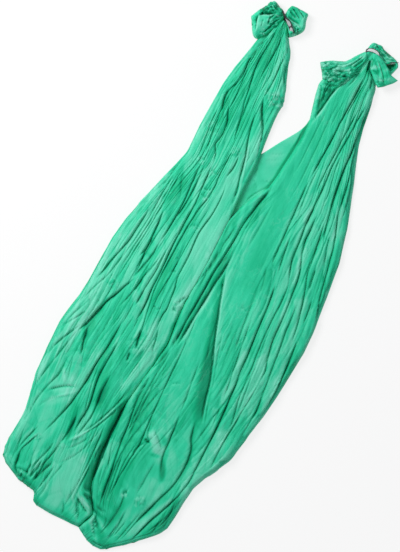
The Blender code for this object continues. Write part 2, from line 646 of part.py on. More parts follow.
def build_right_knot():
    """Right knot: the gripped neck, a roll, an open bight with the strap in it, and a free tail."""
    centre = (across(RIGHT_TURN_SHARES[0]), along(RIGHT_TURN_SHARES[1]))
    way = unit_way(RIGHT_TURN_DIRECTION_SHARES)
    webbing = build_turn("right_webbing", centre, way, RIGHT_TURN_LENGTH)
    block = build_turn_block("right_turn_cutter", centre, way, RIGHT_TURN_LENGTH)
    grown_leg = hide_cutter(build_leg("right_leg_cutter", RIGHT_INNER_SHARES, RIGHT_EDGE_SHARES,
                                      RIGHT_LEG_FOLD_SHARES, RIGHT_EDGE_SHARES[0][0], SEAT_GAP))
    neck_start = along(RIGHT_EDGE_SHARES[0][0]) + CLOTH_GAP
    neck_end = centre[1] + WEBBING_WIDTH / 2
    neck_line = []
    for n, share in enumerate(NECK_BREADTH_SHARES):
        y = neck_start + (neck_end - neck_start) * n / (len(NECK_BREADTH_SHARES) - 1)
        neck_line.append((centre[0], y, RIGHT_TURN_LENGTH * share))
    lift = WEBBING_THICKNESS + CLOTH_GAP
    neck = build_bunch("right_knot_neck", neck_line, LOOP_HEIGHT, lift, 3)
    grown_neck = hide_cutter(build_bunch("right_neck_cutter", neck_line, LOOP_HEIGHT, lift, 3, SEAT_GAP))
    roll = build_bunch("right_knot_roll", drawn_line(RIGHT_ROLL_SHARES), ROLL_HEIGHT, 0.0, 2)
    cut_by(roll, grown_leg, grown_neck, block)
    bight_line = [(across(x), along(y), EYE_LOOP_WIDTH) for x, y in EYE_LOOP_SHARES]
    bight = build_bunch("right_knot_bight", bight_line, EYE_LOOP_HEIGHT, 0.0, 3)
    cut_by(bight, grown_leg, block)
    grown_bight = hide_cutter(build_bunch("bight_cutter", bight_line, EYE_LOOP_HEIGHT, 0.0, 3, SEAT_GAP))
    strap = build_eye_strap()
    cut_by(strap, grown_bight)
    return [neck, roll, bight, webbing, strap]


def build_eye_strap():
    """The strap's own bight, standing on edge in the eye of the right knot's cloth."""
    way = unit_way(EYE_STRAP_DIRECTION_SHARES)
    middle = (across(EYE_STRAP_SHARES[0]), along(EYE_STRAP_SHARES[1]))
    low = (EYE_LOOP_HEIGHT - WEBBING_WIDTH) / 2
    rings = []
    for a in (-EYE_STRAP_LENGTH / 2, EYE_STRAP_LENGTH / 2):
        ring = []
        for side, z in ((-1, low), (-1, low + WEBBING_WIDTH), (1, low + WEBBING_WIDTH), (1, low)):
            b = side * WEBBING_THICKNESS / 2
            ring.append((middle[0] + way[0] * a - way[1] * b, middle[1] + way[1] * a + way[0] * b, z))
        rings.append(ring)
    return loft("right_eye_strap", rings, STRAP_COLOUR, 0.6)


def build_tail():
    """Free tail of the right knot, lying on the leg and on the bight's lower branch."""
    lift = EYE_LOOP_HEIGHT + CLOTH_GAP
    return build_bunch("right_knot_tail", drawn_line(TAIL_SHARES), TAIL_HEIGHT, lift, 3)


def main():
    """Builds every piece in the hammock's own frame, then hangs the moving ones on their axes."""
    clear_scene()
    build_left_seat()
    build_right_seat()
    build_back("seat_back", SEAT_ROW_SHARES + LOBE_ROW_SHARES, seat_place, seat_back_left, outer_right)
    pouch = [
        build_left_pouch(), build_right_pouch(),
        build_back("pouch_back", pouch_rows(), pouch_place, outer_left, outer_right),
    ]
    left_leg = build_leg("left_leg", LEFT_EDGE_SHARES, LEFT_INNER_SHARES, LEFT_LEG_FOLD_SHARES,
                         LEFT_EDGE_SHARES[0][0])
    right_leg = build_leg("right_leg", RIGHT_INNER_SHARES, RIGHT_EDGE_SHARES,
                          RIGHT_LEG_FOLD_SHARES, RIGHT_EDGE_SHARES[0][0])
    left_pieces = [left_leg] + build_left_knot(left_leg)
    right_pieces = [right_leg, build_web()] + build_right_knot()
    fold_height = front_floor() + LIP_HEIGHT + POUCH_CROWN
    seat_fold = hang_on("seat_fold_axis", (0.0, along(SEAT_FOLD_SHARE), fold_height), pouch)
    hang_on("left_leg_axis", (across(LEFT_TURN_SHARES[0]), along(CROTCH_SHARE), fold_height),
            left_pieces, seat_fold)
    right_axis = hang_on("right_leg_axis", (across(RIGHT_TURN_SHARES[0]), along(CROTCH_SHARE), fold_height),
                         right_pieces, seat_fold)
    tail_root = TAIL_SHARES[0]
    hang_on("tail_axis", (across(tail_root[0]), along(tail_root[1]),
                          EYE_LOOP_HEIGHT + CLOTH_GAP + TAIL_HEIGHT), [build_tail()], right_axis)


main()
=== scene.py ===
# Aerial hammock of mint tricot, laid out on a white floor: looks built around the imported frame.
import math

import bpy
import numpy as np
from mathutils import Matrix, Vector


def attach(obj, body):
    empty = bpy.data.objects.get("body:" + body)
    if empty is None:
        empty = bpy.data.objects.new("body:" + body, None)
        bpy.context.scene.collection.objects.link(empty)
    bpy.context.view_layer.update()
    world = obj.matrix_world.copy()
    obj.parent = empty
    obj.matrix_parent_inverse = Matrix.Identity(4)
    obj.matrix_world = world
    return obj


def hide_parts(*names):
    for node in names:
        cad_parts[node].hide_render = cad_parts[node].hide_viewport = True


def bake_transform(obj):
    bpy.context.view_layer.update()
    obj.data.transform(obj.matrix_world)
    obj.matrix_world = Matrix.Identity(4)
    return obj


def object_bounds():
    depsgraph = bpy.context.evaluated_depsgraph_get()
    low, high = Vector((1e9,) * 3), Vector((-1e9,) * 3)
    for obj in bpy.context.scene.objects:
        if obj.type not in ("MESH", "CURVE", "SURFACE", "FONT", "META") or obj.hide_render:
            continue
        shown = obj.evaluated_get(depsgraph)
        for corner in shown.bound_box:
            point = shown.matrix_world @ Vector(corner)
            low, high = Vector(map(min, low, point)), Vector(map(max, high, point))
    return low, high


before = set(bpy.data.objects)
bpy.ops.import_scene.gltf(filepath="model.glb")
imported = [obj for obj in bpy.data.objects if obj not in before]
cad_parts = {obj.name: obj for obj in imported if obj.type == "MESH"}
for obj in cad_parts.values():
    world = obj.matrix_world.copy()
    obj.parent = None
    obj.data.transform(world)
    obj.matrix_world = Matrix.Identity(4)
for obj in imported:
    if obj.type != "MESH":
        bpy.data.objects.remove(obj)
cadLow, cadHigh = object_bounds()

# Places below are drawn in millimetres on the laid hammock: x across, y toward the knots.
laid = {"length": 2300.0, "centre": (39.0, -8.0)}
mm = (cadHigh.y - cadLow.y) / laid["length"]
skin, thinnest = 0.9, 0.6                       # the cloth over its underside, and the least of it


def spot(x, y, z):
    cx, cy = laid["centre"]
    return np.stack([(x - cx) * mm, (y - cy) * mm, z * mm], axis=-1)


def smoothStep(t):
    t = np.clip(t, 0.0, 1.0)
    return t * t * (3.0 - 2.0 * t)


def alongTable(table, at):
    # value at a place, on straight runs through (place, value) pairs given from high to low
    pairs = sorted(table)
    return np.interp(at, [p[0] for p in pairs], [p[1] for p in pairs])


def roundedLine(points, step=9.0, closed=False):
    # smooth line through given points, as even short steps
    pts = np.array(points, float)
    if closed:
        pts = np.vstack([pts[-1:], pts, pts[:2]])
    else:
        pts = np.vstack([2 * pts[0] - pts[1], pts, 2 * pts[-1] - pts[-2]])
    out = []
    for i in range(1, len(pts) - 2):
        p0, p1, p2, p3 = pts[i - 1:i + 3]
        count = max(2, int(np.linalg.norm(p2[:2] - p1[:2]) / step) + 1)
        for k in range(count):
            t = k / count
            out.append(0.5 * ((2 * p1) + (p2 - p0) * t + (2 * p0 - 5 * p1 + 4 * p2 - p3) * t * t
                              + (3 * p1 - p0 - 3 * p2 + p3) * t ** 3))
    if not closed:
        out.append(pts[-2])
    return np.array(out)


def runAlong(line):
    # how far along a line each of its points lies
    return np.r_[0, np.cumsum(np.linalg.norm(np.diff(line, axis=0), axis=1))]


def evenLine(points, count):
    # the same line as count points, evenly spaced
    pts = np.array(points, float)
    run = runAlong(pts[:, :2])
    at = np.linspace(0, run[-1], count)
    return np.stack([np.interp(at, run, pts[:, k]) for k in range(pts.shape[1])], axis=1)


def softNoise(x, y, seed, kinked=False):
    # noise from -1 to 1 on a lattice of unit size, smooth or with straight runs and kinks
    table = np.random.default_rng(seed).uniform(-1, 1, (64, 64))
    xi, yi = np.floor(x).astype(int), np.floor(y).astype(int)
    tx, ty = x - xi, y - yi
    if not kinked:
        tx, ty = tx * tx * (3 - 2 * tx), ty * ty * (3 - 2 * ty)
    a, b = table[xi % 64, yi % 64], table[(xi + 1) % 64, yi % 64]
    c, d = table[xi % 64, (yi + 1) % 64], table[(xi + 1) % 64, (yi + 1) % 64]
    return (a * (1 - tx) + b * tx) * (1 - ty) + (c * (1 - tx) + d * tx) * ty


def nearLine(px, py, line):
    # signed distance to a line (plus on its right as it runs down), run along it, and its whole run
    best = np.full(px.shape, 1e9)
    signed, run = np.zeros(px.shape), np.zeros(px.shape)
    passed = 0.0
    for (ax, ay), (bx, by) in zip(line[:-1, :2], line[1:, :2]):
        dx, dy = bx - ax, by - ay
        length = math.hypot(dx, dy)
        if length < 1e-6:
            continue
        t = np.clip(((px - ax) * dx + (py - ay) * dy) / length ** 2, 0, 1)
        d = np.hypot(px - ax - t * dx, py - ay - t * dy)
        nearer = d < best
        side = np.sign(dx * (py - ay) - dy * (px - ax))
        best = np.where(nearer, d, best)
        signed = np.where(nearer, d * side, signed)
        run = np.where(nearer, passed + t * length, run)
        passed += length
    return signed, run, passed


foldForm = {
    "fade": 80.0, "fadeShare": 0.32,            # how slowly it comes in and runs out, in mm and of its run
    "darkest": 13.0,                            # the depth from which its crease's painted shade is at its darkest
    "groove": 1.2, "lip": 0.20,                 # how deep the crease is, and how high its near lip stands
    "lean": 0.22, "leanMost": 10.0,             # how far the lip hangs over, up to this depth
    "markShare": 0.82, "markFall": 0.62,        # the painted shade of the crease, and how soon it fades
    # painted highlights on the lip and edge beside each crease and on raised cords
    "lipTone": 0.65, "edgeTone": 0.6, "cordTone": 0.1,
}


def foldField(px, py, folds):
    # what the folds do to the cloth at each point: rise, sideways lean, painted shade in the crease, and
    # painted light and shade as the cloth beside it falls away from the light or lifts to it at the lip
    form = foldForm
    rise, lean, shade, tone = (np.zeros(px.shape) for _ in range(4))
    for depth, width, over, *places in folds:
        points = np.reshape(places, (-1, 2))
        line = roundedLine(points)
        reach = 7.0 * width + 26.0
        low, high = line.min(0) - reach, line.max(0) + reach
        near = (px > low[0]) & (px < high[0]) & (py > low[1]) & (py < high[1])
        if not near.any():
            continue
        d, run, whole = nearLine(px[near], py[near], line)
        fade = min(form["fade"], form["fadeShare"] * whole)
        share = smoothStep(run / fade) * smoothStep((whole - run) / fade)
        share = share * (0.88 + 0.26 * softNoise(run / 60.0, 0 * run + depth, len(points)))
        if depth < 0:                           # a raised cord of cloth
            cord = share * np.exp(-(d / width) ** 2)
            rise[near] += -depth * cord
            tone[near] -= form["cordTone"] * -depth * cord
            continue
        strength, part = min(1.0, depth / form["darkest"]), abs(over)
        toward = 1 if over >= 0 else -1         # the side on which the cloth falls away
        away = toward * d
        past, before = np.maximum(away, 0), np.maximum(-away, 0)
        narrow = width * (0.35 + 0.65 * share)
        under = 0.5 + 0.5 * np.tanh(away / 1.3)
        core = np.exp(-(np.sqrt(d * d + 0.6) - 0.77) / (0.45 * narrow))
        slope = under * np.exp(-past / (1.3 * narrow + 8.0))
        wide = under * np.exp(-past / (2.0 * narrow + 10.0))
        lip = (1 - under) * np.exp(-before / (0.6 * narrow + 3.0))
        edge = (1 - under) * np.exp(-np.maximum(-away - 1.5, 0) / (0.3 * narrow + 1.8))
        groove = (form["groove"] - 0.5 * part) * core
        rise[near] += share * depth * (form["lip"] * lip * part - groove - part * slope)
        slip = np.exp(-((away - 3.0) / 3.0) ** 2)
        lean[near] += toward * part * share * min(depth, form["leanMost"]) * form["lean"] * slip
        pressed = share * (0.8 + 0.4 * softNoise(run / 45.0, 0 * run + width, len(points) + 3))
        fall = np.exp(-(past / (form["markFall"] * narrow + 1.0)) ** 1.15)
        mark = form["markShare"] * fall * np.exp(-(before / 1.1) ** 2)
        mark = pressed * (0.3 + 0.7 * strength) * strength ** 0.5 * mark
        shade[near] = np.maximum(shade[near], mark)
        lit = form["lipTone"] * lip + form["edgeTone"] * edge
        tone[near] += share * strength * ((0.3 + 1.1 * part) * wide - lit)
    return rise, lean, shade, tone


def spotField(px, py, lightAndShade):
    # broad spots: painted shade where the satin face is turned away from the light (plus), painted light
    # where it is turned toward it (minus); the same spots also give how calm the cloth is
    tone = np.zeros(px.shape)
    for x, y, across, along, turned, amount in lightAndShade:
        c, s = math.cos(math.radians(turned)), math.sin(math.radians(turned))
        dx, dy = px - x, py - y
        a, b = (dx * c + dy * s) / across, (dy * c - dx * s) / along
        tone += amount * np.exp(-(a * a + b * b) ** 1.5)
    return tone


def facets(a, b, seed):
    # cloth broken into small turned faces, on a lattice of unit size, and the crisp creases between them
    draw = np.random.default_rng(seed)
    place, slope = draw.uniform(0.1, 0.9, (64, 64, 2)), draw.uniform(-1, 1, (64, 64, 2))
    lift = draw.uniform(0, 0.4, (64, 64))
    ai, bi = np.floor(a).astype(int), np.floor(b).astype(int)
    best, second, turned = np.full(a.shape, -9.0), np.full(a.shape, -9.0), np.zeros(a.shape)
    for i in (-1, 0, 1):
        for j in (-1, 0, 1):
            ci, cj = (ai + i) % 64, (bi + j) % 64
            da, db = a - ai - i - place[ci, cj, 0], b - bi - j - place[ci, cj, 1]
            tilted = 0.7 * (slope[ci, cj, 0] * da + slope[ci, cj, 1] * db)
            face = lift[ci, cj] + tilted - 0.8 * (da * da + db * db)
            second = np.maximum(second, np.minimum(best, face))
            turned = np.where(face > best, slope[ci, cj, 0], turned)
            best = np.maximum(best, face)
    soft = np.clip((best - second) / 0.12, 0, 1)
    return best, np.exp(-(best - second) / 0.07), turned * soft


def crumple(px, py, patches):
    # hard little wrinkles in round places, with painted shade in their creases and faces painted paler or
    # deeper as they turn to the light
    rise, shade, tone = (np.zeros(px.shape) for _ in range(3))
    for n, (x, y, radius, height, grain) in enumerate(patches):
        r = np.hypot(px - x, py - y) / radius
        if r.min() > 1:
            continue
        turnX, turnY = px + 0.4 * py, py - 0.5 * px
        wide, wideCrease, wideTurn = facets(turnX / (1.9 * grain), turnY / (1.2 * grain), 40 + n)
        small, smallCrease, smallTurn = facets(px / (0.7 * grain) + 5, py / (1.0 * grain), 80 + n)
        there = smoothStep(1.6 * (1 - r))
        strong = min(1.0, height / 7.0)
        rise += height * (1.5 * wide + 0.6 * small) * there
        shade = np.maximum(shade, there * strong * np.maximum(wideCrease ** 0.5, 0.4 * smallCrease))
        tone += there * strong * (1.5 * wideTurn + 0.6 * smallTurn)
    return rise, shade, tone


def ripples(px, py, seed, long=150.0):
    # soft drape of thin cloth, drawn out along the hammock
    wide = softNoise(px / 26.0, py / long, seed)
    fine = softNoise(px / 9.0, py / (0.45 * long), seed + 1)
    grain = softNoise(px / 5.0 + 0.02 * py, py / 22.0, seed + 2)
    return 1.3 * wide + 0.75 * fine + 0.22 * grain


def pleatStrips(across, along, seed, layers):
    # narrow strips of cloth that run with the gathers, each turned a little its own way and painted paler
    # or deeper as it turns to the light, with painted shade in the creases: (width, length, height, tone)
    # for each layer
    rise, tone, shade = (np.zeros(across.shape) for _ in range(3))
    for n, (width, length, height, toned) in enumerate(layers):
        a = across / width + 1.1 * softNoise(across / (2.6 * width), along / (2.2 * length), seed + n)
        a = a + 0.6 * softNoise(along / length, across / (6 * width), seed + 9 + n)
        strip = np.floor(a)
        within = a - strip
        turn = softNoise(strip * 3.71 + 0.5, along / length, seed + 20 + n)
        deep = softNoise(strip * 2.37 + 0.5, along / (0.7 * length), seed + 30 + n)
        deep = smoothStep(0.5 + 1.2 * deep)
        crease = np.exp(-np.minimum(within, 1 - within) * width / 1.7)
        rise += height * (1.6 * turn * (within - 0.5) - 0.8 * deep * crease)
        tone += toned * turn * 1.5
        shade = np.maximum(shade, 1.1 * toned * deep * crease)
    return rise, shade, tone


def flowCreases(across, along, seed, layers):
    # long thin creases that run with the gathers, with painted shade in them and painted light and shade
    # beside them: (spacing, length, depth, sharpness) for each layer
    rise, shade, tone = (np.zeros(across.shape) for _ in range(3))
    for n, (spacing, length, depth, sharp) in enumerate(layers):
        wander = 0.5 * softNoise(along / (1.7 * length), across / (5 * spacing), seed + 31 + n)
        a = softNoise(across / spacing + wander, along / length, seed + 3 * n)
        there = softNoise(across / (3 * spacing), along / (0.7 * length), seed + 17 + n)
        there = smoothStep(0.35 + 1.5 * there)
        core = np.exp(-np.abs(a) / (sharp * (0.3 + 0.7 * there)))
        side = (a > 0) * np.exp(-np.maximum(a, 0) / 0.5)
        rise += depth * there * (0.25 - 0.75 * core - 0.6 * side)
        shade = np.maximum(shade, 0.14 * depth * there * core)
        tone += 0.28 * depth * there * (side - 0.45)
    return rise, shade, tone


def blurred(field, rows, cols):
    # box blur over so many rows and columns to each side
    out = field
    for axis, reach in ((0, rows), (1, cols)):
        pad = [(0, 0), (0, 0)]
        pad[axis] = (reach + 1, reach)
        run = np.cumsum(np.pad(out, pad, mode="edge"), axis=axis)
        size = 2 * reach + 1
        out = (np.take(run, np.arange(size, run.shape[axis]), axis=axis)
               - np.take(run, np.arange(0, run.shape[axis] - size), axis=axis)) / size
    return out


def towardLight(rise, px, py):
    # how far each point's face leans toward the lamp on the left (plus) or away from it (minus)
    dx, dy = np.gradient(px, axis=1), np.gradient(py, axis=0)
    leanX = np.gradient(rise, axis=1) / np.where(np.abs(dx) < 0.2, 0.2, dx)
    leanY = np.gradient(rise, axis=0) / np.where(np.abs(dy) < 0.2, -0.2, dy)
    return np.clip(blurred(0.95 * leanX - 0.3 * leanY, 1, 1), -1, 1)


def hollowShade(height):
    # how far each point lies below the cloth round it (plus), or stands above it (minus)
    out = np.zeros(height.shape)
    for reach, scale in ((2, 2.0), (6, 4.5), (15, 9.0)):
        out += 0.3 * np.clip((blurred(height, 1, reach) - height) / scale, -1, 1.4)
    return out


def clothMarks(px, py, rise, height, shade, tone, leanTone):
    # hollows and deep folds get painted shade, and faces turned from the lamp are painted deeper in tone
    hollow = hollowShade(rise + 0.25 * height)
    shade = shade + 0.30 * np.maximum(hollow, 0)
    tone = tone + 0.5 * hollow - leanTone * towardLight(rise, px, py)
    shade = shade + 0.42 * np.clip(tone - 0.95, 0, 1.4)
    return shade, 0.5 + 0.5 * tone


def gridNormals(p):
    n = np.cross(np.gradient(p, axis=0), np.gradient(p, axis=1))
    size = np.linalg.norm(n, axis=-1, keepdims=True)
    n = n / np.maximum(size, 1e-9)
    return np.where(n[..., 2:3] < 0, -n, n)


def foldedTop(px, py, ground, height, rise, lean, deepest, fullAt):
    # the folds stand off the plain form along its normals, and never reach through its underside
    base = spot(px, py, ground + skin + height)
    raised = rise * np.clip(height / fullAt, 0, 1)
    rise = np.where(rise < 0, np.maximum(rise, -deepest * height), raised)
    top = base + gridNormals(base) * (rise * mm)[..., None]
    top[..., 0] += lean * mm
    top[..., 2] = np.maximum(top[..., 2], (ground + thinnest) * mm)
    return top, rise


def roundRim(distance, radius):
    s = np.clip(distance / radius, 0, 1)
    return np.sqrt(np.maximum(0.0, 1 - (1 - s) ** 2))


def clothUv(p, py):
    # metres across from the middle column, and metres along
    steps = np.linalg.norm(np.diff(p, axis=1), axis=-1)
    across = np.concatenate([np.zeros((p.shape[0], 1)), np.cumsum(steps, axis=1)], axis=1)
    middle = across[:, across.shape[1] // 2][:, None]
    return np.stack([across - middle, py * mm], axis=-1)


def newPiece(name, verts, faces, uvName, uv, marks):
    # a smooth piece from points and faces, with its UV map and a mark from 0 to 1 on each point
    mesh = bpy.data.meshes.new(name)
    mesh.from_pydata(verts.tolist(), [], faces)
    mesh.update()
    corners = np.zeros(len(mesh.loops), np.int32)
    mesh.loops.foreach_get("vertex_index", corners)
    layer = mesh.uv_layers.new(name=uvName)
    layer.data.foreach_set("uv", uv[corners].astype(np.float32).ravel())
    for label, values in marks.items():
        mark = mesh.attributes.new(label, "FLOAT", "POINT")
        mark.data.foreach_set("value", np.clip(values, 0, 1).astype(np.float32))
    mesh.polygons.foreach_set("use_smooth", np.ones(len(mesh.polygons), bool))
    thing = bpy.data.objects.new(name, mesh)
    bpy.context.scene.collection.objects.link(thing)
    return thing


def shellPiece(name, top, under, uv, shade, tone, gathered, sharpRow=None):
    # closed shell between a top grid and an under grid, rows running down and columns to the right
    rows, cols = top.shape[:2]
    count = rows * cols
    at = np.arange(count).reshape(rows, cols)
    a, b, c, d = at[:-1, :-1], at[:-1, 1:], at[1:, 1:], at[1:, :-1]
    faces = [np.stack([a, d, c, b], -1).reshape(-1, 4),
             np.stack([a, b, c, d], -1).reshape(-1, 4) + count]
    for edge in (at[0, ::-1], at[-1], at[:, 0], at[::-1, -1]):
        p, q = edge[:-1], edge[1:]
        faces.append(np.stack([p, p + count, q + count, q], -1))
    marks = {
        "creaseShade": np.r_[shade.ravel(), np.zeros(count)],
        "litShadeTone": np.r_[tone.ravel(), np.full(count, 0.5)],
        "gathered": np.tile(gathered.ravel(), 2),
    }
    verts = np.vstack([top.reshape(-1, 3), under.reshape(-1, 3)])
    uv = np.tile(uv.reshape(-1, 2), (2, 1))
    piece = newPiece(name, verts, np.vstack(faces).tolist(), "cloth", uv, marks)
    if sharpRow is not None:                    # where two pieces meet, each ends in a crisp edge
        onEdge = np.zeros(2 * count, bool)
        onEdge[at[sharpRow]] = onEdge[at[sharpRow] + count] = True
        ends = np.zeros(2 * len(piece.data.edges), np.int32)
        piece.data.edges.foreach_get("vertices", ends)
        sharp = piece.data.attributes.new("sharp_edge", "BOOLEAN", "EDGE")
        sharp.data.foreach_set("value", onEdge[ends[::2]] & onEdge[ends[1::2]])
    return piece


print("stage: gathered halves")

parting = [
    (540, 12), (400, 8), (250, 6), (0, 2), (-150, -10), (-300, 1), (-400, -12), (-500, -34),
    (-600, -52), (-700, -58), (-800, -55), (-900, -42), (-960, -28), (-1000, -4), (-1045, 26),
    (-1080, 8), (-1116, -6),
]

